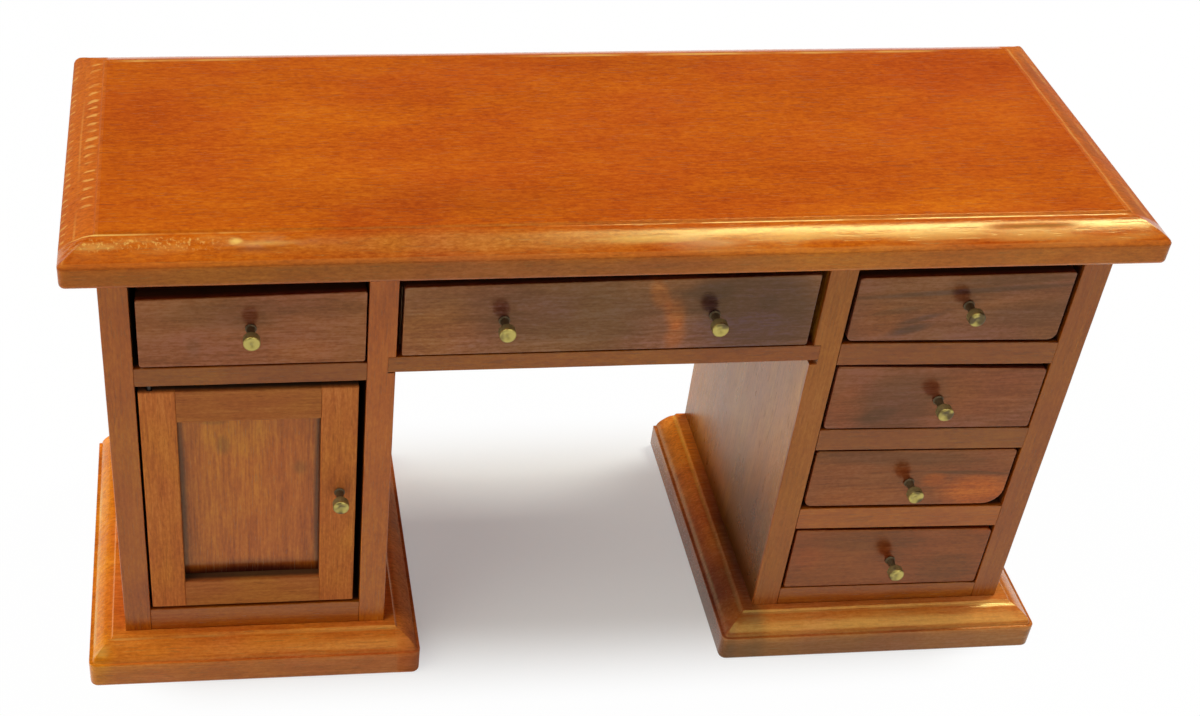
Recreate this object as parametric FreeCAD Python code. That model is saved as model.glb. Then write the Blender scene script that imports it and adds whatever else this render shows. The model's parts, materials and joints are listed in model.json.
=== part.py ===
import FreeCAD, Part
import math
import os

# Twin pedestal desk at dolls' house size, in millimetres.
# Origin on the floor under the middle of the desk, +X to the right, +Y to the back, +Z up.

# Desktop board
TOP_WIDTH = 150.0
TOP_DEPTH = 57.0
TOP_UNDERSIDE = 75.2
TOP_CORNER_RADIUS = 0.6
TOP_MOULD = {"arris": 0.7, "band": 3.3, "step": 0.0, "rise": 2.1, "run": 4.6, "quirk": 0.4}

# Pedestals
PEDESTAL_WIDTH = 40.6
END_OVERHANG = 4.5
SIDE_THICKNESS = 4.1
BACK_THICKNESS = 1.5
FRONT_OVERHANG = 4.95
BACK_OVERHANG = 2.3
BOARD_EASE = 0.2

# Plinth boards
PLINTH_OUTER_REACH = 5.8
PLINTH_INNER_REACH = 5.5
PLINTH_FRONT_REACH = 4.85
PLINTH_CORNER_RADIUS = 0.6
PLINTH_MOULD = {"arris": 0.6, "band": 4.6, "step": 0.5, "rise": 2.3, "run": 3.0, "quirk": 0.4}

# Rails, bottoms and dividers
TOP_RAIL_HEIGHT = 2.9
TOP_RAIL_DEPTH = 4.0
LEFT_BOTTOM = 4.4
LEFT_DIVIDER = 3.2
LEFT_DRAWER_OPENING = 13.8
RIGHT_BOTTOM = 3.4
# Thickness of the right pedestal's dividers, upwards
RIGHT_DIVIDERS = [4.2, 4.0, 3.9]
# The right pedestal's openings, upwards, share its clear height in these proportions
RIGHT_SHARES = [12.6, 11.7, 12.0, 13.2]
# The dividers of the right pedestal were set a little lower at their right-hand ends.
RIGHT_DIVIDER_FALL = 0.8
RIGHT_BOTTOM_FALL = 0.4

# Shelf under the centre drawer, let into grooves in the inner sides
CENTRE_OPENING_HEIGHT = 13.0
CENTRE_SHELF = 2.7
GROOVE_DEPTH = 1.1
GROOVE_SLACK_LEFT = 0.1
GROOVE_SLACK_RIGHT = 0.7

# Drawers
FRONT_THICKNESS = 3.0
FRONT_EASE = 0.25
DRAWER_WALL = 1.8
DRAWER_BOTTOM = 1.0
BOTTOM_LIFT = 0.5
BOX_SIDE_GAP = 0.5
BOX_RUNNING_GAP = 0.1
BOX_BACK_GAP = 0.6
BOX_DROP = 2.0
# Gaps round each drawer front: left, right, top at its left end, top at its right end, bottom
DRAWER_GAPS = {
    "left_drawer": (0.75, 0.20, 2.3, 1.8, 0.12),
    "centre_drawer": (0.70, 1.00, 1.3, 0.8, 0.12),
    "right_drawer_1": (0.50, 0.60, 1.6, 1.4, 0.40),
    "right_drawer_2": (0.40, 0.20, 0.25, 0.9, 0.15),
    "right_drawer_3": (0.40, 0.50, 0.2, 0.25, 0.45),
    "right_drawer_4": (0.35, 0.20, 0.4, 0.65, 0.12),
}
# Corner radii of each drawer front: bottom left, bottom right, top right, top left
DRAWER_CORNERS = {
    "left_drawer": (0.5, 0.4, 0.4, 0.5),
    "centre_drawer": (0.4, 0.4, 0.4, 0.5),
    "right_drawer_1": (0.9, 1.3, 0.5, 0.5),
    "right_drawer_2": (0.7, 0.5, 0.7, 0.5),
    "right_drawer_3": (1.2, 3.0, 0.6, 0.5),
    "right_drawer_4": (0.4, 0.5, 0.9, 0.4),
}

# Cupboard door
DOOR_THICKNESS = 4.0
DOOR_HINGE_GAP = 0.35
DOOR_LOCK_GAP = 1.0
DOOR_TOP_GAP = 1.1
DOOR_BOTTOM_GAP = 0.5
HINGE_STILE = 5.2
LOCK_STILE = 5.3
DOOR_TOP_RAIL = 5.5
DOOR_BOTTOM_RAIL = 5.1
PANEL_RECESS = 2.0
PANEL_THICKNESS = 1.3
PANEL_TONGUE = 1.2
PANEL_GROOVE_ROOM = 0.1

# Pins that the door swings on
PIN_RADIUS = 0.4
PIN_HOLE_CLEARANCE = 0.05
PIN_FROM_EDGE = 1.6
PIN_FROM_FACE = 0.9
PIN_IN_DOOR = 3.0
PIN_IN_BOARD = 2.4
PIN_HOLE_SPARE = 0.3

# Turned brass knobs
KNOB_SHANK_RADIUS = 0.5
KNOB_SHANK_LENGTH = 2.2
KNOB_HOLE_CLEARANCE = 0.02
KNOB_COLLAR_RADIUS = 0.8
KNOB_COLLAR_HEIGHT = 0.25
KNOB_FOOT_RADIUS = 0.65
KNOB_NECK_RADIUS = 0.52
KNOB_NECK_END = 1.5
KNOB_HEAD_RADIUS = 1.2
KNOB_HEAD_START = 2.4
KNOB_HEAD_END = 3.45
KNOB_FACE_RADIUS = 0.8
KNOB_LENGTH = 3.8
KNOB_DIMPLE_DEPTH = 0.3
# How far each knob, or the middle of the pair, sits right of and above the middle of its opening
KNOB_OFFSETS = {
    "left_drawer": (0.1, -0.5),
    "centre_drawer": (-0.3, -0.65),
    "right_drawer_1": (0.95, 0.05),
    "right_drawer_2": (0.6, -0.45),
    "right_drawer_3": (-0.1, -0.65),
    "right_drawer_4": (0.6, -0.7),
}
# Paired knobs stand this far in from the sides of their opening
KNOB_PAIR_INSET = 15.05
PAIRED_KNOBS = ("centre_drawer",)
DOOR_KNOB_FROM_LOCK_EDGE = 2.45
DOOR_KNOB_HEIGHT = 23.0

# Faces that several pieces share
FRONT = FRONT_OVERHANG - TOP_DEPTH / 2
BACK = TOP_DEPTH / 2 - BACK_OVERHANG
OUTER = TOP_WIDTH / 2 - END_OVERHANG
INNER = OUTER - PEDESTAL_WIDTH
INSIDE_NEAR = INNER + SIDE_THICKNESS
INSIDE_FAR = OUTER - SIDE_THICKNESS
INSIDE_BACK = BACK - BACK_THICKNESS
PLINTH_TOP = PLINTH_MOULD["band"] + PLINTH_MOULD["rise"] + PLINTH_MOULD["quirk"]
RAIL_UNDERSIDE = TOP_UNDERSIDE - TOP_RAIL_HEIGHT
CENTRE_SHELF_TOP = RAIL_UNDERSIDE - CENTRE_OPENING_HEIGHT
CENTRE_SHELF_UNDERSIDE = CENTRE_SHELF_TOP - CENTRE_SHELF


class Line:
    """A floor or ceiling line across an opening, given by its heights at the two ends."""

    def __init__(self, left, right, height, fall=0.0):
        self.left = left
        self.right = right
        self.height = height
        self.fall = fall

    def at(self, x):
        middle = (self.left + self.right) / 2
        return self.height - self.fall * (x - middle) / (self.right - self.left)


class Gaps:
    """The gaps round one drawer front."""

    def __init__(self, name):
        self.left, self.right, self.top_left, self.top_right, self.bottom = DRAWER_GAPS[name]


class Opening:
    """A space between two side boards, with a floor line and a ceiling line."""

    def __init__(self, left, right, floor, ceiling):
        self.left = left
        self.right = right
        self.floor = floor
        self.ceiling = ceiling


def block(x0, x1, y0, y1, z0, z1):
    """A square-edged board between opposite corners."""
    return Part.makeBox(x1 - x0, y1 - y0, z1 - z0, FreeCAD.Vector(x0, y0, z0))


def prism(outline, y0, y1):
    """A board whose outline in X and Z runs from y0 to y1."""
    corners = [FreeCAD.Vector(x, y0, z) for x, z in outline]
    face = Part.Face(Part.makePolygon(corners + corners[:1]))
    return face.extrude(FreeCAD.Vector(0, y1 - y0, 0))


def edges_in_plane(shape, y):
    """The edges of a shape that lie flat in the plane at this Y."""
    near = 1e-6
    return [edge for edge in shape.Edges if all(abs(v.Y - y) < near for v in edge.Vertexes)]


def ease_front(shape, y, radius, long_only=False):
    """Round the front arrises of a board, or only the two that run across."""
    edges = edges_in_plane(shape, y)
    if long_only:
        longest = max(edge.Length for edge in edges)
        edges = [edge for edge in edges if edge.Length > longest / 2]
    return shape.makeFillet(radius, edges)


def arc_edge(start, middle, end):
    return Part.Arc(start, middle, end).toShape()


def mould_edges(mould, place):
    """Outline of one moulded side, from its lower arris up to the flat field."""
    arris = mould["arris"]
    slack = arris * (1 - math.sqrt(0.5))
    band = mould["band"]
    step = mould["step"]
    run = mould["run"]
    rise = mould["rise"]
    radius = (run * run + rise * rise) / (2 * rise)
    half_angle = math.asin(run / radius) / 2
    crown = band + rise
    inset = step + run
    edges = [arc_edge(place(arris, 0), place(slack, slack), place(0, arris))]
    edges.append(Part.makeLine(place(0, arris), place(0, band)))
    if step > 0:
        edges.append(Part.makeLine(place(0, band), place(step, band)))
    bulge_in = inset - radius * math.sin(half_angle)
    bulge_up = crown - radius + radius * math.cos(half_angle)
    edges.append(arc_edge(place(step, band), place(bulge_in, bulge_up), place(inset, crown)))
    edges.append(Part.makeLine(place(inset, crown), place(inset, crown + mould["quirk"])))
    return edges


def pulled_profile(edges, pull):
    """A solid from a closed ring of edges, pulled along a vector."""
    wire = Part.Wire(Part.__sortEdges__(edges))
    return Part.Face(wire).extrude(pull)


def moulded_board(x0, x1, y0, y1, z0, mould, corner, back_moulded):
    """A board with a moulded edge at the front, both ends and, if asked, the back."""
    height = mould["band"] + mould["rise"] + mould["quirk"]
    arris = mould["arris"]
    inset = mould["step"] + mould["run"]

    def left_place(u, z):
        return FreeCAD.Vector(x0 + u, y0, z0 + z)

    def right_place(u, z):
        return FreeCAD.Vector(x1 - u, y0, z0 + z)

    def front_place(u, z):
        return FreeCAD.Vector(x0, y0 + u, z0 + z)

    def back_place(u, z):
        return FreeCAD.Vector(x0, y1 - u, z0 + z)

    ends = mould_edges(mould, left_place) + mould_edges(mould, right_place)
    ends.append(Part.makeLine(left_place(inset, height), right_place(inset, height)))
    ends.append(Part.makeLine(left_place(arris, 0), right_place(arris, 0)))
    across = pulled_profile(ends, FreeCAD.Vector(0, y1 - y0, 0))

    sides = mould_edges(mould, front_place)
    if back_moulded:
        sides += mould_edges(mould, back_place)
        back_top = back_place(inset, height)
        back_foot = back_place(arris, 0)
    else:
        back_top = back_place(0, height)
        back_foot = back_place(0, 0)
        sides.append(Part.makeLine(back_foot, back_top))
    sides.append(Part.makeLine(front_place(inset, height), back_top))
    sides.append(Part.makeLine(front_place(arris, 0), back_foot))
    along = pulled_profile(sides, FreeCAD.Vector(x1 - x0, 0, 0))

    plan = block(x0, x1, y0, y1, z0, z0 + height)
    rounded_backs = (y0, y1) if back_moulded else (y0,)
    near = 1e-6
    uprights = []
    for edge in plan.Edges:
        ends_y = [vertex.Y for vertex in edge.Vertexes]
        upright = abs(edge.Length - height) < near and abs(ends_y[0] - ends_y[1]) < near
        if upright and any(abs(ends_y[0] - y) < near for y in rounded_backs):
            uprights.append(edge)
    return across.common(along).common(plan.makeFillet(corner, uprights))


def desktop():
    half_width = TOP_WIDTH / 2
    half_depth = TOP_DEPTH / 2
    return moulded_board(-half_width, half_width, -half_depth, half_depth, TOP_UNDERSIDE,
                         TOP_MOULD, TOP_CORNER_RADIUS, True)


def plinth(hand):
    outer = hand * (OUTER + PLINTH_OUTER_REACH)
    inner = hand * (INNER - PLINTH_INNER_REACH)
    return moulded_board(min(outer, inner), max(outer, inner), FRONT - PLINTH_FRONT_REACH, BACK, 0.0,
                         PLINTH_MOULD, PLINTH_CORNER_RADIUS, False)


def side_board(x0, x1):
    """A full-height side board of a pedestal, with its front arrises eased."""
    board = block(x0, x1, FRONT, BACK, PLINTH_TOP, TOP_UNDERSIDE)
    return ease_front(board, FRONT, BOARD_EASE, True)


def inner_side(hand, slack):
    """An inner side board with the groove that holds the shelf under the centre drawer."""
    faces = sorted((hand * INNER, hand * INSIDE_NEAR))
    board = side_board(faces[0], faces[1])
    groove = sorted((hand * INNER, hand * (INNER + GROOVE_DEPTH)))
    waste = block(groove[0], groove[1], FRONT, BACK, CENTRE_SHELF_UNDERSIDE - slack, CENTRE_SHELF_TOP)
    return board.cut(waste)


def cross_board(left, right, under, top):
    """A board across a pedestal between two lines, from the front to the back panel."""
    outline = [(left, under.at(left)), (right, under.at(right)), (right, top.at(right)), (left, top.at(left))]
    return ease_front(prism(outline, FRONT, INSIDE_BACK), FRONT, BOARD_EASE, True)


def top_rail(left, right):
    rail = block(left, right, FRONT, FRONT + TOP_RAIL_DEPTH, RAIL_UNDERSIDE, TOP_UNDERSIDE)
    return ease_front(rail, FRONT, BOARD_EASE, True)


def back_panel(left, right, foot):
    return block(left, right, INSIDE_BACK, BACK, foot, TOP_UNDERSIDE)


def left_pedestal(pieces):
    """Rails and boards of the left pedestal; gives back its drawer and cupboard openings."""
    left = -INSIDE_FAR
    right = -INSIDE_NEAR
    foot = Line(left, right, PLINTH_TOP)
    floor = Line(left, right, PLINTH_TOP + LEFT_BOTTOM)
    head = Line(left, right, RAIL_UNDERSIDE)
    drawer_floor = Line(left, right, head.height - LEFT_DRAWER_OPENING)
    door_head = Line(left, right, drawer_floor.height - LEFT_DIVIDER)
    pieces["left_bottom"] = cross_board(left, right, foot, floor)
    pieces["left_divider"] = cross_board(left, right, door_head, drawer_floor)
    pieces["left_top_rail"] = top_rail(left, right)
    pieces["left_back"] = back_panel(left, right, PLINTH_TOP)
    return Opening(left, right, drawer_floor, head), Opening(left, right, floor, door_head)


def right_pedestal(pieces):
    """Rails and boards of the right pedestal; gives back its drawer openings from the top down."""
    left = INSIDE_NEAR
    right = INSIDE_FAR
    foot = Line(left, right, PLINTH_TOP)
    floor = Line(left, right, PLINTH_TOP + RIGHT_BOTTOM, RIGHT_BOTTOM_FALL)
    pieces["right_bottom"] = cross_board(left, right, foot, floor)
    clear_height = RAIL_UNDERSIDE - floor.height - sum(RIGHT_DIVIDERS)
    openings = []
    number = len(RIGHT_DIVIDERS)
    for share, thickness in zip(RIGHT_SHARES, RIGHT_DIVIDERS):
        height = clear_height * share / sum(RIGHT_SHARES)
        ceiling = Line(left, right, floor.height + height, RIGHT_DIVIDER_FALL)
        openings.append(Opening(left, right, floor, ceiling))
        floor = Line(left, right, ceiling.height + thickness, RIGHT_DIVIDER_FALL)
        pieces["right_divider_%d" % number] = cross_board(left, right, ceiling, floor)
        number -= 1
    openings.append(Opening(left, right, floor, Line(left, right, RAIL_UNDERSIDE)))
    pieces["right_top_rail"] = top_rail(left, right)
    pieces["right_back"] = back_panel(left, right, PLINTH_TOP)
    return openings[::-1]


def centre_bay(pieces):
    """Shelf, rail and back between the pedestals; gives back the centre drawer's opening."""
    end = INNER + GROOVE_DEPTH
    shelf = block(-end, end, FRONT, INSIDE_BACK, CENTRE_SHELF_UNDERSIDE, CENTRE_SHELF_TOP)
    pieces["centre_shelf"] = ease_front(shelf, FRONT, BOARD_EASE, True)
    pieces["centre_top_rail"] = top_rail(-INNER, INNER)
    pieces["centre_back"] = back_panel(-INNER, INNER, CENTRE_SHELF_UNDERSIDE)
    floor = Line(-INNER, INNER, CENTRE_SHELF_TOP)
    return Opening(-INNER, INNER, floor, Line(-INNER, INNER, RAIL_UNDERSIDE))


def knob_bore(x, z, thickness):
    """The blind hole that takes a knob's shank."""
    depth = min(KNOB_SHANK_LENGTH, thickness)
    radius = KNOB_SHANK_RADIUS + KNOB_HOLE_CLEARANCE
    return Part.makeCylinder(radius, depth, FreeCAD.Vector(x, FRONT, z), FreeCAD.Vector(0, 1, 0))


def knob(x, z):
    """A turned knob: shank, collar, tapered neck that flares to the head, and a dimpled end face."""

    def at(radius, out):
        return FreeCAD.Vector(x + radius, FRONT - out, z)

    collar_mid = KNOB_COLLAR_HEIGHT / 2
    outline = [
        at(0, -KNOB_SHANK_LENGTH), at(KNOB_SHANK_RADIUS, -KNOB_SHANK_LENGTH), at(KNOB_SHANK_RADIUS, 0),
        at(KNOB_COLLAR_RADIUS, 0), at(KNOB_COLLAR_RADIUS, collar_mid),
    ]
    edges = [Part.makeLine(a, b) for a, b in zip(outline, outline[1:])]
    collar_top = at(KNOB_FOOT_RADIUS, KNOB_COLLAR_HEIGHT)
    edges.append(Part.makeLine(outline[-1], collar_top))
    neck_end = at(KNOB_NECK_RADIUS, KNOB_NECK_END)
    edges.append(Part.makeLine(collar_top, neck_end))
    head_start = at(KNOB_HEAD_RADIUS, KNOB_HEAD_START)
    edges.append(Part.makeLine(neck_end, head_start))
    head_end = at(KNOB_HEAD_RADIUS, KNOB_HEAD_END)
    edges.append(Part.makeLine(head_start, head_end))
    face_rim = at(KNOB_FACE_RADIUS, KNOB_LENGTH)
    lip = math.sqrt(0.5)
    round_mid = at(KNOB_FACE_RADIUS + (KNOB_HEAD_RADIUS - KNOB_FACE_RADIUS) * lip,
                   KNOB_HEAD_END + (KNOB_LENGTH - KNOB_HEAD_END) * lip)
    edges.append(arc_edge(head_end, round_mid, face_rim))
    dimple = at(0, KNOB_LENGTH - KNOB_DIMPLE_DEPTH)
    edges.append(Part.makeLine(face_rim, dimple))
    edges.append(Part.makeLine(dimple, outline[0]))
    face = Part.Face(Part.Wire(Part.__sortEdges__(edges)))
    return face.revolve(FreeCAD.Vector(x, FRONT, z), FreeCAD.Vector(0, 1, 0), 360)


def drawer_front(name, opening, knob_places):
    """A solid front, cut to its own gaps and rounded at its corners, with holes for the knobs."""
    gaps = Gaps(name)
    left = opening.left + gaps.left
    right = opening.right - gaps.right
    outline = [
        (left, opening.floor.at(left) + gaps.bottom),
        (right, opening.floor.at(right) + gaps.bottom),
        (right, opening.ceiling.at(right) - gaps.top_right),
        (left, opening.ceiling.at(left) - gaps.top_left),
    ]
    board = prism(outline, FRONT, FRONT + FRONT_THICKNESS)
    for (x, z), radius in zip(outline, DRAWER_CORNERS[name]):
        corner = FreeCAD.Vector(x, FRONT + FRONT_THICKNESS / 2, z)
        board = board.makeFillet(radius, [nearest_edge(board, corner)])
    board = ease_front(board, FRONT, FRONT_EASE)
    for x, z in knob_places:
        board = board.cut(knob_bore(x, z, FRONT_THICKNESS))
    return board


def nearest_edge(shape, point):
    """The edge of a shape whose middle lies nearest to a point."""
    return min(shape.Edges, key=lambda edge: edge.CenterOfMass.distanceToPoint(point))


def drawer_box(name, opening, pieces):
    """Two sides, a back and a bottom behind a drawer front."""
    gaps = Gaps(name)
    left = opening.left + max(BOX_SIDE_GAP, gaps.left)
    right = opening.right - max(BOX_SIDE_GAP, gaps.right)
    y0 = FRONT + FRONT_THICKNESS
    y1 = INSIDE_BACK - BOX_BACK_GAP

    def foot(x):
        return opening.floor.at(x) + BOX_RUNNING_GAP

    lowest_head = min(opening.ceiling.at(left) - gaps.top_left, opening.ceiling.at(right) - gaps.top_right)
    tall = lowest_head - BOX_DROP - max(foot(left), foot(right))

    def wall(x0, x1, low, high):
        return [(x0, foot(x0) + low), (x1, foot(x1) + low), (x1, foot(x1) + high), (x0, foot(x0) + high)]

    inner_left = left + DRAWER_WALL
    inner_right = right - DRAWER_WALL
    left_wall = prism(wall(left, inner_left, 0, tall), y0, y1)
    right_wall = prism(wall(inner_right, right, 0, tall), y0, y1)
    pieces[name + "_sides"] = Part.makeCompound([left_wall, right_wall])
    pieces[name + "_back"] = prism(wall(inner_left, inner_right, 0, tall), y1 - DRAWER_WALL, y1)
    low = BOTTOM_LIFT
    high = BOTTOM_LIFT + DRAWER_BOTTOM
    pieces[name + "_bottom"] = prism(wall(inner_left, inner_right, low, high), y0, y1 - DRAWER_WALL)


def drawer(name, opening, pieces):
    """One drawer: front, box and its knob or pair of knobs."""
    right_of_middle, above_middle = KNOB_OFFSETS[name]
    middle = (opening.left + opening.right) / 2 + right_of_middle
    half_spacing = (opening.right - opening.left) / 2 - KNOB_PAIR_INSET
    across = [middle - half_spacing, middle + half_spacing] if name in PAIRED_KNOBS else [middle]
    places = []
    for x in across:
        half_height = (opening.ceiling.height - opening.floor.height) / 2
        places.append((x, opening.floor.at(x) + half_height + above_middle))
    pieces[name + "_front"] = drawer_front(name, opening, places)
    drawer_box(name, opening, pieces)
    knobs = [knob(x, z) for x, z in places]
    if len(knobs) == 1:
        pieces[name + "_knob"] = knobs[0]
    else:
        pieces[name + "_knobs"] = Part.makeCompound(knobs)


def pin_cylinder(x, z0, z1, radius):
    place = FreeCAD.Vector(x, FRONT + PIN_FROM_FACE, z0)
    return Part.makeCylinder(radius, z1 - z0, place, FreeCAD.Vector(0, 0, 1))


def door(opening, pieces):
    """Frame-and-panel door with a knob, and the two pins that it swings on."""
    left = opening.left + DOOR_HINGE_GAP
    right = opening.right - DOOR_LOCK_GAP
    low = opening.floor.height + DOOR_BOTTOM_GAP
    high = opening.ceiling.height - DOOR_TOP_GAP
    back = FRONT + DOOR_THICKNESS
    panel_left = left + HINGE_STILE
    panel_right = right - LOCK_STILE
    panel_low = low + DOOR_BOTTOM_RAIL
    panel_high = high - DOOR_TOP_RAIL
    panel_front = FRONT + PANEL_RECESS
    panel_back = panel_front + PANEL_THICKNESS
    reach = PANEL_TONGUE + PANEL_GROOVE_ROOM
    groove = block(panel_left - reach, panel_right + reach, panel_front, panel_back,
                   panel_low - reach, panel_high + reach)
    pieces["door_panel"] = block(panel_left - PANEL_TONGUE, panel_right + PANEL_TONGUE,
                                 panel_front, panel_back,
                                 panel_low - PANEL_TONGUE, panel_high + PANEL_TONGUE)

    pin_x = left + PIN_FROM_EDGE
    hole_radius = PIN_RADIUS + PIN_HOLE_CLEARANCE
    hole_depth = PIN_IN_DOOR + PIN_HOLE_SPARE
    knob_x = right - DOOR_KNOB_FROM_LOCK_EDGE
    knob_z = opening.floor.height + DOOR_KNOB_HEIGHT

    hinge_stile = ease_front(block(left, panel_left, FRONT, back, low, high), FRONT, FRONT_EASE)
    hinge_stile = hinge_stile.cut(groove)
    hinge_stile = hinge_stile.cut(pin_cylinder(pin_x, low, low + hole_depth, hole_radius))
    pieces["door_hinge_stile"] = hinge_stile.cut(pin_cylinder(pin_x, high - hole_depth, high, hole_radius))
    lock_stile = ease_front(block(panel_right, right, FRONT, back, low, high), FRONT, FRONT_EASE)
    lock_stile = lock_stile.cut(groove)
    pieces["door_lock_stile"] = lock_stile.cut(knob_bore(knob_x, knob_z, DOOR_THICKNESS))
    top_bar = block(panel_left, panel_right, FRONT, back, panel_high, high)
    pieces["door_top_rail"] = ease_front(top_bar, FRONT, FRONT_EASE, True).cut(groove)
    foot_bar = block(panel_left, panel_right, FRONT, back, low, panel_low)
    pieces["door_bottom_rail"] = ease_front(foot_bar, FRONT, FRONT_EASE, True).cut(groove)
    pieces["door_knob"] = knob(knob_x, knob_z)

    lower_pin = pin_cylinder(pin_x, opening.floor.height - PIN_IN_BOARD, low + PIN_IN_DOOR, PIN_RADIUS)
    upper_pin = pin_cylinder(pin_x, high - PIN_IN_DOOR, opening.ceiling.height + PIN_IN_BOARD, PIN_RADIUS)
    pieces["door_hinge_pins"] = Part.makeCompound([lower_pin, upper_pin])
    pieces["left_bottom"] = pieces["left_bottom"].cut(lower_pin)
    pieces["left_divider"] = pieces["left_divider"].cut(upper_pin)


def build():
    """All pieces of the desk by name."""
    pieces = {"desktop": desktop(), "left_plinth": plinth(-1), "right_plinth": plinth(1)}
    pieces["left_outer_side"] = side_board(-OUTER, -INSIDE_FAR)
    pieces["left_inner_side"] = inner_side(-1, GROOVE_SLACK_LEFT)
    pieces["right_inner_side"] = inner_side(1, GROOVE_SLACK_RIGHT)
    pieces["right_outer_side"] = side_board(INSIDE_FAR, OUTER)
    left_drawer_opening, cupboard = left_pedestal(pieces)
    drawer("left_drawer", left_drawer_opening, pieces)
    drawer("centre_drawer", centre_bay(pieces), pieces)
    for number, opening in enumerate(right_pedestal(pieces), start=1):
        drawer("right_drawer_%d" % number, opening, pieces)
    door(cupboard, pieces)
    return pieces


def write(pieces):
    os.makedirs("parts", exist_ok=True)
    for name, shape in pieces.items():
        shape.exportStep("parts/%s.step" % name)


write(build())
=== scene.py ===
"""Looks of a small twin pedestal desk: varnished wood, turned brass knobs and a pale stage."""

import json
import math
from dataclasses import dataclass

import bmesh
import bpy
from mathutils import Matrix, Vector, noise


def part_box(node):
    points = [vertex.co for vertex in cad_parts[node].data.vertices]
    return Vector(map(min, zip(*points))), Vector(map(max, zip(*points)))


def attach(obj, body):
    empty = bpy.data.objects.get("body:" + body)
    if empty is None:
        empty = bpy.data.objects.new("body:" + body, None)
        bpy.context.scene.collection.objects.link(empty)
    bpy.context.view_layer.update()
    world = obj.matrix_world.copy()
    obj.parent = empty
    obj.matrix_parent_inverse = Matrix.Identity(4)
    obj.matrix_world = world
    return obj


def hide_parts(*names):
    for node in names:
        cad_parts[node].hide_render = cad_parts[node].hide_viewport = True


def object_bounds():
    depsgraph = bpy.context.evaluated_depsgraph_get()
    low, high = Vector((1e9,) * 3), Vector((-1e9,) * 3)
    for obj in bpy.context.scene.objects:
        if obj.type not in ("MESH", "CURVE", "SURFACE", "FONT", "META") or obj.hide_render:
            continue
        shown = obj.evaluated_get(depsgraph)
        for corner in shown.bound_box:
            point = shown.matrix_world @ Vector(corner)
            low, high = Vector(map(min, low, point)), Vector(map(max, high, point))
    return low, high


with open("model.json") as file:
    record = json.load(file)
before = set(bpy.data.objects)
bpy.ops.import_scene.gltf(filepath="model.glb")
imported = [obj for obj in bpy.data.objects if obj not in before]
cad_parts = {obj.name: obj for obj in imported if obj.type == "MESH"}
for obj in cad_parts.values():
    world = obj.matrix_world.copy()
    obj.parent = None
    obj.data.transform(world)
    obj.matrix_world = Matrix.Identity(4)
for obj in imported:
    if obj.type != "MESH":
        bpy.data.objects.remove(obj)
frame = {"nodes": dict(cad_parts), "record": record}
CAD_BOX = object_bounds()
NODES = frame["nodes"]
FRONT_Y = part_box("left_outer_side")[0].y

bl_info = {
    "name": "Twin Pedestal Desk",
    "version": (1, 0, 0),
    "blender": (4, 5, 0),
    "location": "3D View > Sidebar > Desk",
    "description": "Dresses a packed desk in varnished wood and brass, and sets a pale stage",
    "category": "Object",
}

MM = 0.001
WELD = 1e-6
FINE_WELD = 1e-7
SAME_PLANE = math.radians(0.3)
SHARP_ANGLE = math.radians(32.0)
ARRIS_COSINE = math.cos(math.radians(12.0))

# Sizes and colours that a user would change


def number(name, about, value, **limits):
    return bpy.props.FloatProperty(name=name, description=about, default=value, **limits)


def length(name, about, millimetres):
    return number(name, about, millimetres * MM, unit="LENGTH", min=0.0, precision=5)


def share(name, about, value):
    return number(name, about, value, subtype="FACTOR", min=0.0, max=1.0)


def power(name, about, watts):
    return number(name, about, watts, unit="POWER", min=0.0)


def angle(name, about, degrees):
    return number(name, about, math.radians(degrees), subtype="ANGLE")


def colour(name, about, value):
    return bpy.props.FloatVectorProperty(
        name=name, description=about, subtype="COLOR", size=3, min=0.0, max=1.0, default=value
    )


def position(name, about, metres):
    return bpy.props.FloatVectorProperty(
        name=name, description=about, subtype="TRANSLATION", size=3, default=metres
    )


class DeskWood(bpy.types.PropertyGroup):
    """Colours and gloss of the wood."""

    light: colour("Light grain", "Colour of the pale streaks", (0.74, 0.195, 0.010))
    middle: colour("Middle grain", "Main colour of the stained wood", (0.59, 0.118, 0.004))
    dark: colour("Dark grain", "Colour of the dark streaks", (0.40, 0.060, 0.002))
    pore: colour("Pores", "Colour of the short dark pores", (0.16, 0.022, 0.002))
    golden: colour("Golden drift", "Tint of the golden parts of a board", (1.0, 1.0, 0.8))
    russet: colour("Russet drift", "Tint of the redder parts of a board", (0.93, 0.80, 1.0))
    # Painted shade inside the openings: its colour, and how far behind the front faces it starts
    gap: colour("Gaps", "Colour of the unseen faces inside the openings", (0.03, 0.010, 0.004))
    gap_start: length("Gap start", "How far behind the front faces the wood turns dark", 0.7)
    bare_light: colour("Bare light", "Pale streaks of the unstained drawer boxes", (0.66, 0.44, 0.24))
    bare_dark: colour("Bare dark", "Dark streaks of the unstained drawer boxes", (0.45, 0.27, 0.13))
    gloss: share("Gloss", "Strength of the varnish's shine", 0.55)
    front_gloss: share("Front gloss", "Strength of the shine of the drawer fronts", 0.9)
    roughness: share("Roughness", "Roughness of the varnish", 0.2)
    dull: share("Dull", "Roughness added where end grain has soaked up the varnish", 0.45)


class DeskBrass(bpy.types.PropertyGroup):
    """Colours of the metal pieces."""

    bright: colour("Bright brass", "Brass where hands keep it clean", (0.48, 0.39, 0.11))
    worn: colour("Worn brass", "Greyed brass round the head of a knob", (0.32, 0.265, 0.11))
    dull: colour("Dull brass", "Tarnished brass in the neck of a knob", (0.12, 0.085, 0.04))
    steel: colour("Steel", "Blackened wire of the hinge pins", (0.06, 0.055, 0.05))


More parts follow.
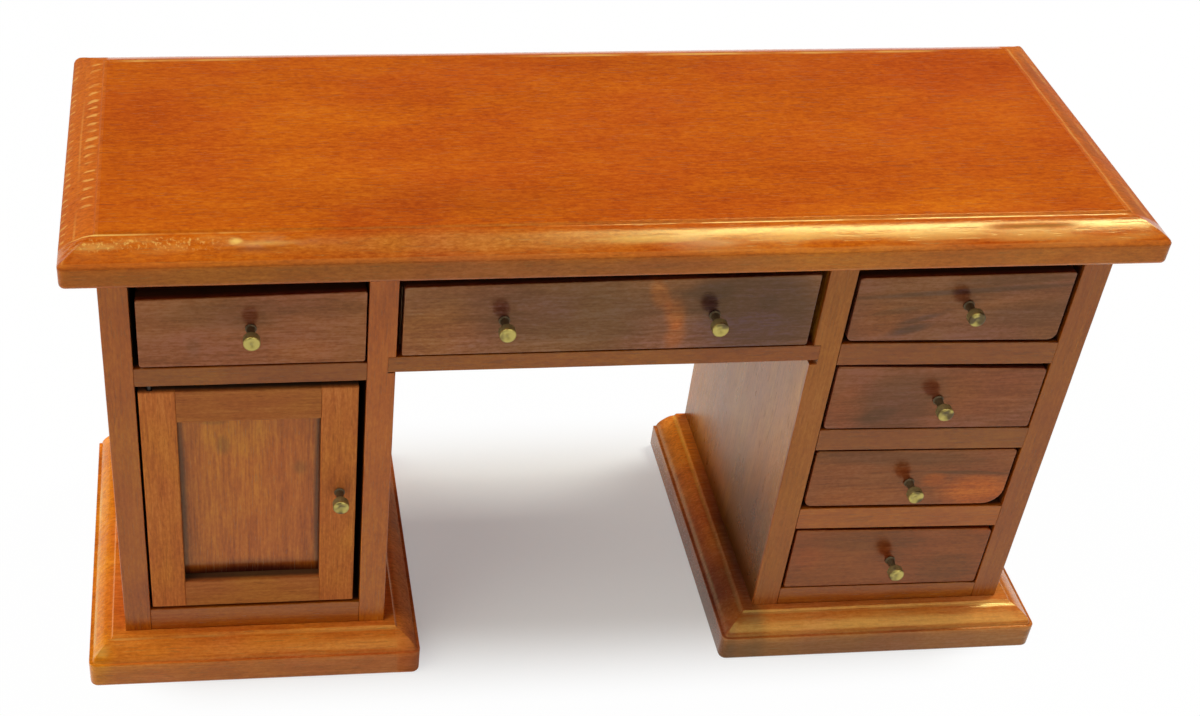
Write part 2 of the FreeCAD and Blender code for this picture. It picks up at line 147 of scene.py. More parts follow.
class DeskMoulding(bpy.types.PropertyGroup):
    """Sections of the moulded boards, and the marks that the cutter left in them."""

    top_arris: length("Top arris", "Rounding under the desktop's edge", 0.7)
    top_band: length("Top band", "Upright band of the desktop's edge", 3.3)
    top_rise: length("Top rise", "Height of the desktop's ovolo", 2.1)
    top_run: length("Top run", "Width of the desktop's ovolo", 4.6)
    top_step: length("Top step", "Flat between the desktop's band and ovolo", 0.0)
    top_quirk: length("Top quirk", "Small step up to the desktop's field", 0.4)
    plinth_arris: length("Plinth arris", "Rounding under a plinth's edge", 0.6)
    plinth_band: length("Plinth band", "Upright band of a plinth", 4.6)
    plinth_rise: length("Plinth rise", "Height of a plinth's ovolo", 2.3)
    plinth_run: length("Plinth run", "Width of a plinth's ovolo", 3.0)
    plinth_step: length("Plinth step", "Flat between a plinth's band and ovolo", 0.5)
    plinth_quirk: length("Plinth quirk", "Small step up to a plinth's field", 0.4)
    corner: length("Top corner", "Rounding of the desktop's outer corners", 0.9)
    plinth_corner: length("Plinth corner", "Rounding of a plinth's outer corners", 1.2)
    chatter_pitch: length("Chatter pitch", "Distance between two marks of the cutter", 1.5)
    chatter_depth: length("Chatter depth", "Depth of the cutter's marks", 0.06)
    sway_pitch: length("Sway pitch", "Distance between low places of a moulding", 13.0)
    sway_depth: length("Sway depth", "Depth of the low places of a moulding", 0.09)


class DeskSanding(bpy.types.PropertyGroup):
    """Unevenness that hand work leaves in the flat boards."""

    wave_length: length("Wave length", "Distance between the low places of a sanded face", 6.0)
    wave_depth: length("Wave depth", "Depth of the low places", 0.05)
    arris_length: length("Arris wear length", "Distance between worn places of an edge", 1.9)
    case_arris: length("Case arris wear", "Depth of the worn places of a case board's edge", 0.03)
    front_arris: length("Front arris wear", "Depth of the worn places of a drawer front's edge", 0.12)
    door_arris: length("Door arris wear", "Depth of the worn places of a door piece's edge", 0.03)
    case_step: length("Case step", "Size of the faces of a case board", 1.6)
    front_step: length("Front step", "Size of the faces of a drawer front or door piece", 0.9)


class DeskKnob(bpy.types.PropertyGroup):
    """Turned shape of a knob."""

    collar_radius: length("Collar radius", "Radius of the collar against the wood", 0.8)
    collar_height: length("Collar height", "Height of the collar", 0.25)
    foot_radius: length("Foot radius", "Radius of the neck at the collar", 0.65)
    neck_radius: length("Neck radius", "Radius of the neck where it starts to flare", 0.52)
    neck_end: length("Neck end", "Where the neck starts to flare", 1.5)
    head_radius: length("Head radius", "Radius of the head", 1.2)
    head_start: length("Head start", "Where the flare ends and the head starts", 2.4)
    head_end: length("Head end", "Where the head starts to round over", 3.45)
    face_radius: length("Face radius", "Radius of the end face", 0.8)
    full_length: length("Length", "How far a knob stands out", 3.8)
    dimple: length("Dimple", "Depth of the dimple in the end face", 0.3)


class DeskStage(bpy.types.PropertyGroup):
    """Floor, lamps and camera."""

    floor: colour("Floor", "Colour of the floor", (0.915, 0.935, 0.905))
    floor_glow: share("Floor glow", "How far the floor's shadow is lifted towards white", 0.29)
    shade_fade: length("Shade fade", "How far the floor's shadow takes to fade out", 20.0)
    horizon: colour("Horizon", "Colour of the light from low round the desk", (0.57, 0.57, 0.55))
    sky: colour("Sky", "Colour of the light from above", (0.07, 0.07, 0.07))
    lamp_colour: colour("Lamp colour", "Colour of all the lamps", (1.0, 0.97, 0.9))
    key: number("Key lamp", "Strength of the wide lamp above at the left", 2.05, min=0.0)
    key_way: position("Key way", "Where the light of the wide lamp comes from", (-0.58, -0.04, 0.80))
    key_spread: angle("Key spread", "How wide the wide lamp is, seen from the desk", 60.0)
    strip: power("Strip lamp", "Power of the long lamp above at the right", 7.4)
    strip_place: position("Strip place", "Where the long lamp hangs", (0.48, 0.265, 1.11))
    strip_length: length("Strip length", "Length of the long lamp", 420.0)
    strip_width: length("Strip width", "Width of the long lamp", 240.0)
    card: power("Card", "Power of the card in front, which only shows in the varnish", 2.6)
    card_place: position("Card place", "Where the card hangs", (0.323, -0.62, 0.597))
    card_length: length("Card length", "Length of the card", 700.0)
    card_width: length("Card width", "Width of the card", 490.0)
    camera_place: position("Camera place", "Where the camera stands", (-0.05466, -0.22065, 0.20758))
    camera_heading: angle("Heading", "How far the camera looks to the right", 6.77)
    camera_pitch: angle("Pitch", "How far the camera looks down", 40.45)
    camera_roll: angle("Roll", "How far the camera leans", 2.49)
    camera_lens: number("Lens", "Focal length in millimetres", 53.18, unit="CAMERA")
    camera_shift: bpy.props.FloatVectorProperty(
        name="Shift", description="How far the picture is cropped off the lens axis", size=2,
        default=(0.1818, 0.0948),
    )


# Shader maths


class Wire:
    """A socket of a node tree. Arithmetic on it adds Math nodes, and add() adds any other node."""

    def __init__(self, tree, socket=None):
        self.tree = tree
        self.socket = socket

    def add(self, kind, settings=None, sockets=None, output=0):
        """Adds a node: its settings first, then the values or links of its sockets."""
        node = self.tree.nodes.new(kind)
        for key, value in (settings or {}).items():
            if key == "stops":
                set_stops(node.color_ramp, value)
            else:
                setattr(node, key, value)
        for key, value in (sockets or {}).items():
            if isinstance(value, Wire):
                self.tree.links.new(value.socket, node.inputs[key])
            else:
                node.inputs[key].default_value = value
        return Wire(self.tree, node.outputs[output]) if len(node.outputs) else None

    def math(self, operation, first, second):
        return self.add("ShaderNodeMath", {"operation": operation}, {0: first, 1: second})

    def vector(self, operation, *others, output=0):
        """Adds a Vector Math node on this wire and others."""
        sockets = dict(enumerate((self, *others)))
        return self.add("ShaderNodeVectorMath", {"operation": operation}, sockets, output)

    def axis(self, name):
        """One coordinate of a place."""
        return self.add("ShaderNodeSeparateXYZ", None, {0: self}, name)

    def __add__(self, other):
        return self.math("ADD", self, other)

    def __radd__(self, other):
        return self.math("ADD", other, self)

    def __sub__(self, other):
        return self.math("SUBTRACT", self, other)

    def __rsub__(self, other):
        return self.math("SUBTRACT", other, self)

    def __mul__(self, other):
        return self.math("MULTIPLY", self, other)

    def __rmul__(self, other):
        return self.math("MULTIPLY", other, self)


def set_stops(ramp, stops):
    """Gives a colour ramp these stops, each a place and a colour."""
    while len(ramp.elements) < len(stops):
        ramp.elements.new(1.0)
    for element, (place, value) in zip(ramp.elements, stops):
        element.position = place
        element.color = (*value[:3], 1.0)


def smooth(value, low, high):
    """0 below low, 1 above high, with a soft passage between them."""
    settings = {"interpolation_type": "SMOOTHSTEP", "clamp": True}
    return value.add("ShaderNodeMapRange", settings, {"Value": value, "From Min": low, "From Max": high})


def cloud(place, scale, offset, detail, roughness=0.5):
    """Noise on a place that is scaled by a vector and shifted by an offset."""
    shifted = place.vector("MULTIPLY_ADD", scale, offset)
    sockets = {"Vector": shifted, "Scale": 1.0, "Detail": detail, "Roughness": roughness}
    return place.add("ShaderNodeTexNoise", None, sockets)


def mix(factor, first, second, blend="MIX"):
    """Mixes two colours."""
    settings = {"data_type": "RGBA", "blend_type": blend}

    def whole(value):
        return value if isinstance(value, Wire) else (*value[:3], 1.0)

    return factor.add("ShaderNodeMix", settings, {0: factor, 6: whole(first), 7: whole(second)}, 2)


def new_material(name):
    """An empty node material and a wire to start its tree from."""
    material = bpy.data.materials.new(name)
    material.use_nodes = True
    material.node_tree.nodes.clear()
    return material, Wire(material.node_tree)


def millimetres(start):
    """Places on the object, in millimetres."""
    place = start.add("ShaderNodeTexCoord", output="Object")
    return place.add("ShaderNodeVectorMath", {"operation": "SCALE"}, {0: place, "Scale": 1.0 / MM})


def bumps(place, height, strength, depth):
    """Normals of a face with low bumps; the depth is in millimetres."""
    return place.add("ShaderNodeBump", None, {"Strength": strength, "Distance": depth * MM, "Height": height})


def surface(start, sockets):
    """Ends a material's tree with a shader that has these sockets."""
    shader = start.add("ShaderNodeBsdfPrincipled", None, sockets)
    start.add("ShaderNodeOutputMaterial", None, {"Surface": shader})


# Wood

ALONG = {"X": 0, "Y": 1, "Z": 2}
FAR = 100.0
AMBER_SHINE = (1.0, 0.93, 0.58)
GOLDEN_SHINE = (1.0, 0.98, 0.28)
CLEAR_SHINE = (1.0, 0.93, 0.42)


@dataclass
class Grain:
    """Noise drawn out along a board's grain, in waves for each millimetre along and across it."""

    along: float
    across: float
    shift: int
    detail: float
    roughness: float

    def over(self, place, grain, seed):
        """The noise on a board; its seed gives each board its own piece of it."""
        scale = [self.across] * 3
        scale[ALONG[grain]] = self.along
        return cloud(place, scale, seed_offset(seed + self.shift), self.detail, self.roughness)


def seed_offset(seed):
    return (seed * 17.3, seed * -9.1, seed * 5.7)


STREAKS = Grain(0.045, 0.42, 0, 3.0, 0.6)
LINES = Grain(0.16, 2.6, 0, 2.0, 0.6)
BLOTCHES = Grain(0.05, 0.09, 3, 3.0, 0.6)
SPECKLE = Grain(1.1, 2.7, 2, 2.0, 0.7)
PORES = Grain(0.34, 4.6, 5, 1.0, 0.5)
DRIFT = Grain(0.05, 0.08, 7, 2.0, 0.6)
BARE_STREAKS = Grain(0.03, 0.5, 0, 3.0, 0.6)
BARE_LINES = Grain(0.09, 3.2, 0, 2.0, 0.6)
FUZZ_SCALE = (7.0, 7.0, 7.0)
PORE_LEVELS = (0.60, 0.72)
DRIFT_LEVELS = (0.35, 0.65)
FIGURE_LEVELS = (0.34, 0.50, 0.66)
PORE_STRENGTH = 0.3
PORE_ROUGHNESS = 0.12
BLOTCH_ROUGHNESS = 0.15
BLOTCH_RAGGED = 1.3
STREAK_RAGGED = 0.9
GRAIN_RELIEF = 0.03
BARE_RELIEF = 0.04
RELIEF_STRENGTH = 0.4

# Painted shade inside the openings: its strength, how soft its ends are, and how far from a back it ends
GAP_SHADE_STRENGTH = 0.85
GAP_SOFT = 0.7
GAP_SIDE_SOFT = 0.05
GAP_BACK_SOFT = 0.2
GAP_BACK_MARGIN = 0.35


def on_axes(axes, values):
    """A vector with values on two axes and 0 on the third."""
    found = dict(zip(axes, values))
    return [found.get(axis, 0.0) for axis in ALONG]


def from_centre(place, axes, centre, half_sizes):
    """The way from a centre to a place, counted in half sizes."""
    shifted = place.vector("SUBTRACT", on_axes(axes, centre))
    return shifted.vector("MULTIPLY", on_axes(axes, [1.0 / half for half in half_sizes]))


def window(place, axis, low, high, soft, shift=0.0):
    """1 between two places on an axis, with soft ends that a shift can move."""
    along = place.axis(axis) + shift
    return smooth(along, low - soft, low + soft) * (1.0 - smooth(along, high - soft, high + soft))


def in_strips(place, strips, strength, shift=0.0):
    """The strength where all the strips of a board cross, 0 outside them."""
    for strip in strips:
        strength = strength * window(place, *strip, shift)
    return strength


@dataclass
class Patch:
    """A soft patch, darker or lighter than the wood round it: mostly figure in the stain of a front, and on
    some boards painted shade or painted light. Sizes in millimetres and degrees.
    """

    across: float
    up: float
    half_width: float
    half_height: float
    tint: tuple
    strength: float = 1.0
    tilt: float = 0.0
    ragged: float = 1.0

    AXES = "XZ"
    EDGE = (0.45, 1.4)

    def over(self, place, base, ragged):
        """The base colour with this patch on it; ragged is noise that breaks up its edge."""
        return mix(self.inside(place, ragged) * self.strength, base, self.tint, "MULTIPLY")

    def inside(self, place, ragged):
        """1 in the middle of the patch, 0 outside it."""
        centre = (self.across, self.up)
        if self.tilt:
            turn = {
                "Vector": place,
                "Center": on_axes(self.AXES, centre),
                "Angle": math.radians(self.tilt),
            }
            place = place.add("ShaderNodeVectorRotate", {"rotation_type": "Y_AXIS"}, turn)
        scaled = from_centre(place, self.AXES, centre, (self.half_width, self.half_height))
        reach = scaled.vector("LENGTH", output="Value")
        return 1.0 - smooth(reach + ragged * self.ragged, *self.EDGE)


class SidePatch(Patch):
    """A soft patch on the face of an upright board that runs from front to back."""

    AXES = "YZ"
    BEHIND_FRONT = 0.6
    SOFT = 0.3

    def inside(self, place, ragged):
        behind_front = window(place, "Y", FRONT_Y / MM + self.BEHIND_FRONT, FAR, self.SOFT)
        return super().inside(place, ragged) * behind_front


@dataclass
class Worn:
    """Broken marks in a strip of a board, such as worn varnish on an edge, and on some boards painted
    highlights, painted sheen and painted shade. Sizes in millimetres.
    """

    strips: tuple
    scale: tuple
    level: float
    tint: tuple
    strength: float
    soft: float = 0.1
    ragged: float = 0.0

    def over(self, place, base):
        low, high = self.strips[0][1:3]
        marks = cloud(place, self.scale, (low, high, 4.0), 2.0, 0.55)
        inside = in_strips(place, self.strips, self.strength, (marks - 0.5) * self.ragged)
        return mix(inside * smooth(marks, self.level, self.level + self.soft), base, self.tint)


@dataclass
class Ladder:
    """Short pale bars, one for each turn of the cutter that cut a moulding: worn torn grain, partly painted
    as glints. Sizes in millimetres.
    """

    strips: tuple
    pitch: float
    tint: tuple
    strength: float

    WANDER = 7.0
    FRAY = 1.6
    FRAYED_ENDS = 1.4
    WORN_PLACES = (0.36, 0.54)
    BAR_EDGE = (0.3, 1.0)

    def over(self, place, base):
        uneven = cloud(place, (0.04, 0.4, 0.3), (5.0, 2.0, 1.0), 3.0, 0.6)
        frayed = cloud(place, (1.1, 1.7, 0.3), (2.0, 7.0, 3.0), 2.0)
        turns = place.axis("Y") * (2 * math.pi / self.pitch) + uneven * self.WANDER + frayed * self.FRAY
        wave = place.add("ShaderNodeMath", {"operation": "SINE"}, {0: turns})
        worn = smooth(uneven, *self.WORN_PLACES) * self.strength
        inside = in_strips(place, self.strips, worn, (frayed - 0.5) * self.FRAYED_ENDS)
        return mix(inside * smooth(wave, *self.BAR_EDGE), base, self.tint)


@dataclass
class Spot:
    """A chip, dent or tone on a board, seen from above, and on some boards a patch of painted highlight,
    painted sheen or painted shade. Sizes in millimetres.
    """

    x: float
    y: float
    half_width: float
    half_depth: float
    tint: tuple
    strength: float
    blend: str = "MIX"
    ragged: float = 1.2

    EDGE = (0.1, 1.3)
    RAGGED_SCALE = (1.3, 1.3, 1.3)

    def over(self, place, base):
        scaled = from_centre(place, "XY", (self.x, self.y), (self.half_width, self.half_depth))
        reach = scaled.vector("LENGTH", output="Value")
        rough = cloud(scaled, self.RAGGED_SCALE, (self.x, self.y, 0.0), 2.0)
        inside = 1.0 - smooth(reach + (rough - 0.5) * self.ragged, *self.EDGE)
        return mix(inside * self.strength, base, self.tint, self.blend)


@dataclass
class Tone:
    """A part of a board that is stained darker or lighter than the rest. Sizes in millimetres."""

    strip: tuple
    tint: tuple

    def over(self, place, base):
        return mix(window(place, *self.strip), base, self.tint, "MULTIPLY")


@dataclass
class Look:
    """How one board is cut from the wood, stained and worn.

    The shares are those of streaks, lines, blotches and speckle. Between is the range across the desk where
    the board gets painted shade inside an opening. Worn holds stains and wear, and on some boards painted
    highlights, painted sheen and painted shade. Each strip is an axis, where it starts and ends on it, and
    how soft its ends are. Gloss names a value of the wood.
    """

    grain: str
    seed: int
    stain: tuple
    contrast: float = 1.0
    patches: tuple = ()
    worn: tuple = ()
    between: tuple = None
    shares: tuple = (0.2, 0.3, 0.2, 0.3)
    gloss_tint: tuple = AMBER_SHINE
    dull: tuple = ()
    gloss: str = "gloss"
    rough: float = 0.0


def tinted(factor, tint):
    """A stain: how dark it is, and what it does to the wood's hue."""
    return tuple(factor * channel for channel in tint)


def scaled_colour(value, factor):
    return [channel * factor for channel in value[:3]]


def stained_colour(value, stain):
    return [channel * part for channel, part in zip(value[:3], stain)]


def painted_gap_shade_mask(place, between, back):
    """Where a board gets painted shade: behind the front faces, inside an opening, but not on its back face.
    """
    wood = bpy.context.scene.desk_wood
    start = (FRONT_Y + wood.gap_start) / MM
    deep = window(place, "Y", start, FAR, wood.gap_start / MM * GAP_SOFT)
    before_back = window(place, "Y", -FAR, back - GAP_BACK_MARGIN, GAP_BACK_SOFT)
    return deep * before_back * window(place, "X", *between, GAP_SIDE_SOFT)


def varnished_wood(name, look, back=FAR):
    """Stained and varnished wood with streaks, fine lines and pores along its grain."""
    wood = bpy.context.scene.desk_wood
    material, start = new_material(name)
    place = millimetres(start)
    streaks, lines, blotches, speckle, pores, drift = [
        grain.over(place, look.grain, look.seed)
        for grain in (STREAKS, LINES, BLOTCHES, SPECKLE, PORES, DRIFT)
    ]
    pores = smooth(pores, *PORE_LEVELS)
    drift = smooth(drift, *DRIFT_LEVELS)
    parts = zip((streaks, lines, blotches, speckle), look.shares)
    figure = sum(part * weight for part, weight in parts)
    figure = 0.5 + (figure - 0.5) * look.contrast
    colours = [stained_colour(value, look.stain) for value in (wood.dark, wood.middle, wood.light)]
    stops = list(zip(FIGURE_LEVELS, colours))
    shade = place.add("ShaderNodeValToRGB", {"stops": stops}, {0: figure})
    shade = mix(drift, shade, wood.golden, "MULTIPLY")
    shade = mix(1.0 - drift, shade, wood.russet, "MULTIPLY")
    shade = mix(pores * PORE_STRENGTH, shade, stained_colour(wood.pore, look.stain))
    ragged = (blotches - 0.5) * BLOTCH_RAGGED + (streaks - 0.5) * STREAK_RAGGED
    # Patches and marks: stain and wear, and on some boards painted shade, painted highlights and painted
    # sheen
    for patch in look.patches:
        shade = patch.over(place, shade, ragged)
    for worn in look.worn:
        shade = worn.over(place, shade)
    roughness = wood.roughness + look.rough + pores * PORE_ROUGHNESS + (blotches - 0.5) * BLOTCH_ROUGHNESS
    # Painted shade inside the openings, where the varnish is also rougher
    if look.between is not None:
        gap = painted_gap_shade_mask(place, look.between, back)
        shade = mix(gap * GAP_SHADE_STRENGTH, shade, wood.gap)
        roughness = roughness + gap * wood.dull
    for strips in look.dull:
        roughness = roughness + in_strips(place, strips, wood.dull)
    relief = lines * 0.5 - pores * 0.5 + speckle * 0.2
    surface(start, {
        "Base Color": shade,
        "Roughness": roughness,
        "Specular IOR Level": getattr(wood, look.gloss),
        "Specular Tint": (*look.gloss_tint, 1.0),
        "Normal": bumps(place, relief, RELIEF_STRENGTH, GRAIN_RELIEF),
    })
    return material


def bare_wood(name, grain, seed):
    """Sanded wood without stain or varnish."""
    wood = bpy.context.scene.desk_wood
    material, start = new_material(name)
    place = millimetres(start)
    streaks = BARE_STREAKS.over(place, grain, seed)
    lines = BARE_LINES.over(place, grain, seed)
    fuzz = cloud(place, FUZZ_SCALE, seed_offset(seed), 1.0)
    stops = [(FIGURE_LEVELS[0], wood.bare_dark), (FIGURE_LEVELS[-1], wood.bare_light)]
    shade = place.add("ShaderNodeValToRGB", {"stops": stops}, {0: streaks * 0.55 + lines * 0.45})
    surface(start, {
        "Base Color": shade,
        "Roughness": 0.72 + (fuzz - 0.5) * 0.2,
        "Specular IOR Level": 0.3,
        "Normal": bumps(place, lines * 0.6 + fuzz * 0.4, RELIEF_STRENGTH, BARE_RELIEF),
    })
    return material


# Metal

# Less of a knob's face is rubbed for each millimetre to the right
RUBBED_LESS = 0.0022
RUBBED_LEVELS = (0.32, 0.54)
TARNISH_RAGGED = 1.2
TARNISH_LEVELS = (0.15, 0.5)
FACE_RAGGED = 0.5
RIM_SOFT = 0.2
TURNED_RELIEF = 0.03
TURNED_STRENGTH = 0.3


def knob_brass(name, face_y):
    """Turned brass: rubbed bright on the face, greyed round the head and tarnished in the neck."""
    brass = bpy.context.scene.desk_brass
    knob = bpy.context.scene.desk_knob
    material, start = new_material(name)
    place = millimetres(start)
    out = face_y / MM - place.axis("Y")
    spots = cloud(place, (1.1, 1.1, 1.1), (3.0, 8.0, 2.0), 3.0, 0.6)
    rings = cloud(place, (0.4, 9.0, 0.4), (1.0, 4.0, 6.0), 1.0)
    flare = knob.neck_end / MM - RIM_SOFT
    clean = smooth(out + (spots - 0.5) * TARNISH_RAGGED, flare, knob.head_start / MM)
    worn = clean * smooth(spots, *TARNISH_LEVELS)
    shade = mix(worn, brass.dull, brass.worn)
    rim = knob.head_end / MM
    face = smooth(out + (spots - 0.5) * FACE_RAGGED, rim - RIM_SOFT, rim + RIM_SOFT)
    rubbed = cloud(place, (0.6, 0.6, 0.6), (6.0, 1.0, 9.0), 1.0)
    rubbed = smooth(rubbed - place.axis("X") * RUBBED_LESS, *RUBBED_LEVELS)
    shade = mix(face, shade, mix(rubbed, brass.dull, brass.bright))
    surface(start, {
        "Base Color": shade,
        "Metallic": 0.5 + face * 0.45,
        "Roughness": 0.5 - face * 0.14 + (spots - 0.5) * 0.15,
        "Normal": bumps(place, rings * 0.6 + spots * 0.4, TURNED_STRENGTH, TURNED_RELIEF),
    })
    return material


def pin_steel(name):
    """Drawn steel wire."""
    brass = bpy.context.scene.desk_brass
    material, start = new_material(name)
    place = millimetres(start)
    drawn = cloud(place, (5.0, 5.0, 0.3), (2.0, 1.0, 0.0), 2.0)
    shade = mix(drawn, scaled_colour(brass.steel, 0.6), brass.steel)
    surface(start, {"Base Color": shade, "Metallic": 1.0, "Roughness": 0.25 + drawn * 0.25})
    return material


# Meshes


def put_in_scene(name, data):
    """A new object for a mesh, a lamp or a camera."""
    made = bpy.data.objects.new(name, data)
    bpy.context.scene.collection.objects.link(made)
    return made


def finished_mesh(name, bm, material):
    """A mesh from mesh code, in one material."""
    mesh = bpy.data.meshes.new(name)
    bm.normal_update()
    bm.to_mesh(mesh)
    bm.free()
    mesh.materials.append(material)
    return mesh


def new_piece(name, bm, material, body, slot, *nodes):
    """A piece from mesh code that rides on a body in the place of CAD nodes."""
    mesh = finished_mesh(name, bm, material)
    mesh.shade_smooth()
    mesh.set_sharp_from_angle(angle=SHARP_ANGLE)
    piece = put_in_scene(name, mesh)
    weighted = piece.modifiers.new("even_normals", "WEIGHTED_NORMAL")
    weighted.keep_sharp = True
    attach(piece, body)
    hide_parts(*nodes)


def body_of_node(node):
    """The body that carries a CAD node."""
    bodies = frame["record"]["behaviour"]["bodies"]
    return next(body for body, members in bodies.items() if node in members)


def sand_and_varnish(node, look, slot, step, arris_depth, fitted=""):
    """Puts a sanded and varnished board in the place of a CAD node."""
    wood = varnished_wood(node + "_varnish", look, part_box(node)[1].y / MM)
    board = sanded_board(node, step, arris_depth, fitted)
    new_piece("sanded_" + node, board, wood, body_of_node(node), slot, node)


def dress(node, material):
    """Puts a material on a CAD node."""
    slots = NODES[node].data.materials
    slots.clear()
    slots.append(material)


# Worn arrises: the noise that places the wear, and the share of the full depth at its middle and its ends
ARRIS_SHIFT = Vector((7.0, 3.0, 5.0))
ARRIS_MIDDLE = 0.4
ARRIS_SPREAD = 0.9


def clamped(value):
    return max(0.0, min(1.0, value))


def sanded_board(node, step, arris_depth, fitted):
    """A copy of a CAD board, cut into small faces that hand sanding has left slightly uneven.

    Faces across the fitted axes stay true, because other boards butt against them.
    """
    shape = bpy.context.scene.desk_sanding
    sanded = Vector([0.0 if axis in fitted else 1.0 for axis in ALONG])
    bm = bmesh.new()
    bm.from_mesh(NODES[node].data)
    bmesh.ops.remove_doubles(bm, verts=bm.verts[:], dist=WELD)
    bmesh.ops.dissolve_limit(bm, angle_limit=SAME_PLANE, verts=bm.verts[:], edges=bm.edges[:])
    low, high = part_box(node)
    for axis in range(3):
        way = Vector((0.0, 0.0, 0.0))
        way[axis] = 1.0
        count = round((high[axis] - low[axis]) / step)
        for i in range(1, count):
            everything = bm.verts[:] + bm.edges[:] + bm.faces[:]
            cut = low.lerp(high, i / count)
            bmesh.ops.bisect_plane(bm, geom=everything, plane_co=cut, plane_no=way, dist=FINE_WELD)
    bm.normal_update()
    moved = []
    for vert in bm.verts:
        turned = min(vert.normal.dot(face.normal) for face in vert.link_faces)
        wave = noise.noise(vert.co / shape.wave_length)
        depth = shape.wave_depth * (0.5 - 0.5 * wave)
        if turned < ARRIS_COSINE:
            nibble = noise.noise(vert.co / shape.arris_length + ARRIS_SHIFT)
            depth += arris_depth * clamped(ARRIS_MIDDLE + ARRIS_SPREAD * nibble)
        moved.append(vert.co - vert.normal * sanded * depth)
    for vert, place in zip(bm.verts, moved):
        vert.co = place
    return bm


class Section:
    """Outline of a moulded edge: insets and heights of points, and how deep a cutter's mark goes there."""

    PARTS = ("arris", "band", "step", "rise", "run", "quirk")
    ARRIS_STEPS = 4
    OVOLO_STEPS = 16
    FLATTEN = 0.65
    EASE = 0.12 * MM
    EASE_IN = 0.6
    CUT_SKEW = 0.8
    QUIRK_SLOPE = ((0.35, 0.25), (0.75, 0.85), (1.0, 1.0))

    def __init__(self, kind):
        shape = bpy.context.scene.desk_moulding
        arris, band, step, rise, run, quirk = [getattr(shape, kind + "_" + part) for part in self.PARTS]
        self.points = []
        for i in range(self.ARRIS_STEPS + 1):
            turn = math.pi / 2 * i / self.ARRIS_STEPS
            self.put(arris - arris * math.sin(turn), arris - arris * math.cos(turn))
        self.put(0.0, band - self.EASE)
        self.put(self.EASE * self.EASE_IN, band)
        for i, (inset, height, turn) in enumerate(self.ovolo(run, rise)):
            if i == 0 and step <= 0.0:
                continue
            cut = math.sin(math.pi * (i / self.OVOLO_STEPS) ** self.CUT_SKEW)
            self.put(step + inset, band + height, cut * math.sin(turn), cut * math.cos(turn))
        for out, up in self.QUIRK_SLOPE:
            self.put(step + run + quirk * out, band + rise + quirk * up)

    def ovolo(self, run, rise):
        """Insets, heights and slopes of a round that is flatter in its middle than an arc."""
        opening = 2.0 * math.atan2(rise, run)

        def slope(along):
            eased = along + self.FLATTEN * math.sin(2 * math.pi * along) / (2 * math.pi)
            return opening * (1.0 - eased)

        inset = height = 0.0
        points = []
        for i in range(self.OVOLO_STEPS + 1):
            points.append((inset, height, slope(i / self.OVOLO_STEPS)))
            turn = slope(i / self.OVOLO_STEPS + 0.5 / self.OVOLO_STEPS)
            inset += math.cos(turn)
            height += math.sin(turn)
        whole_run, whole_rise, _ = points[-1]
        return [(x * run / whole_run, z * rise / whole_rise, turn) for x, z, turn in points]

    def put(self, inset, height, cut_in=0.0, cut_down=0.0):
        self.points.append((inset, height, cut_in, cut_down))


@dataclass
class MouldedBoard:
    """A board with a moulded edge at the front and both ends, and at the back where asked."""

    low: Vector
    high: Vector
    section: Section
    corner: float
    back_moulded: bool
    marks: object

    CORNER_STEPS = 4
    SPACING = 0.5 * MM
    LEAST_CORNER = 0.02 * MM

    def ring(self, inset):
        """The four corners of the board at one inset, each as a short arc of points."""
        back = inset if self.back_moulded else 0.0
        left, right = self.low.x + inset, self.high.x - inset
        front, rear = self.low.y + inset, self.high.y - back
        soft = max(self.corner - inset, self.LEAST_CORNER)
        hard = soft if self.back_moulded else 0.0
        corners = [(left, front, soft), (right, front, soft), (right, rear, hard), (left, rear, hard)]
        turned = []
        for quarter, (x, y, radius) in enumerate(corners):
            to_x = 1 if x == left else -1
            to_y = 1 if y == front else -1
            centre = Vector((x + to_x * radius, y + to_y * radius))
            start = math.pi + quarter * math.pi / 2
            arc = []
            for i in range(self.CORNER_STEPS + 1):
                turn = start + math.pi / 2 * i / self.CORNER_STEPS
                arc.append(centre + radius * Vector((math.cos(turn), math.sin(turn))))
            turned.append(arc)
        return turned

    def sides(self, inset):
        """All points at one inset, with the way in, the run along the side and the side they are on.

        Points of a corner have no way in.
        """
        ways_in = [Vector((0, 1)), Vector((-1, 0)), Vector((0, -1)), Vector((1, 0))]
        spans = [self.high.x - self.low.x, self.high.y - self.low.y] * 2
        turned = self.ring(inset)
        points = []
        for side in range(4):
            arc = turned[side]
            for place in arc:
                points.append((place, None, 0.0, side))
            start, end = arc[-1], turned[(side + 1) % 4][0]
            count = max(2, round(spans[side] / self.SPACING))
            for i in range(1, count):
                place = start.lerp(end, i / count)
                points.append((place, ways_in[side], spans[side] * i / count, side))
        return points

    def mesh(self):
        bm = bmesh.new()
        rings = []
        for inset, height, cut_in, cut_down in self.section.points:
            loop = []
            for place, way_in, run, side in self.sides(inset):
                moved = Vector((place.x, place.y, self.low.z + height))
                moulded = self.back_moulded or side != 2
                if way_in is not None and moulded and (cut_in or cut_down):
                    depth = self.marks(side, run)
                    moved.xy += way_in * cut_in * depth
                    moved.z -= cut_down * depth
                loop.append(bm.verts.new(moved))
            rings.append(loop)
        count = len(rings[0])
        for lower, upper in zip(rings, rings[1:]):
            for i in range(count):
                j = (i + 1) % count
                bm.faces.new((lower[i], lower[j], upper[j], upper[i]))
        bm.faces.new(rings[-1])
        bm.faces.new(rings[0][::-1])
        bmesh.ops.remove_doubles(bm, verts=bm.verts[:], dist=FINE_WELD)
        return bm


# How the cutter's marks wander, and how they come and go, along a board
WANDER_LENGTH = 6 * MM
PATCHY_LENGTH = 11 * MM
WANDER = 2.5
PATCHY_MIDDLE = 0.6
PATCHY_SPREAD = 1.2


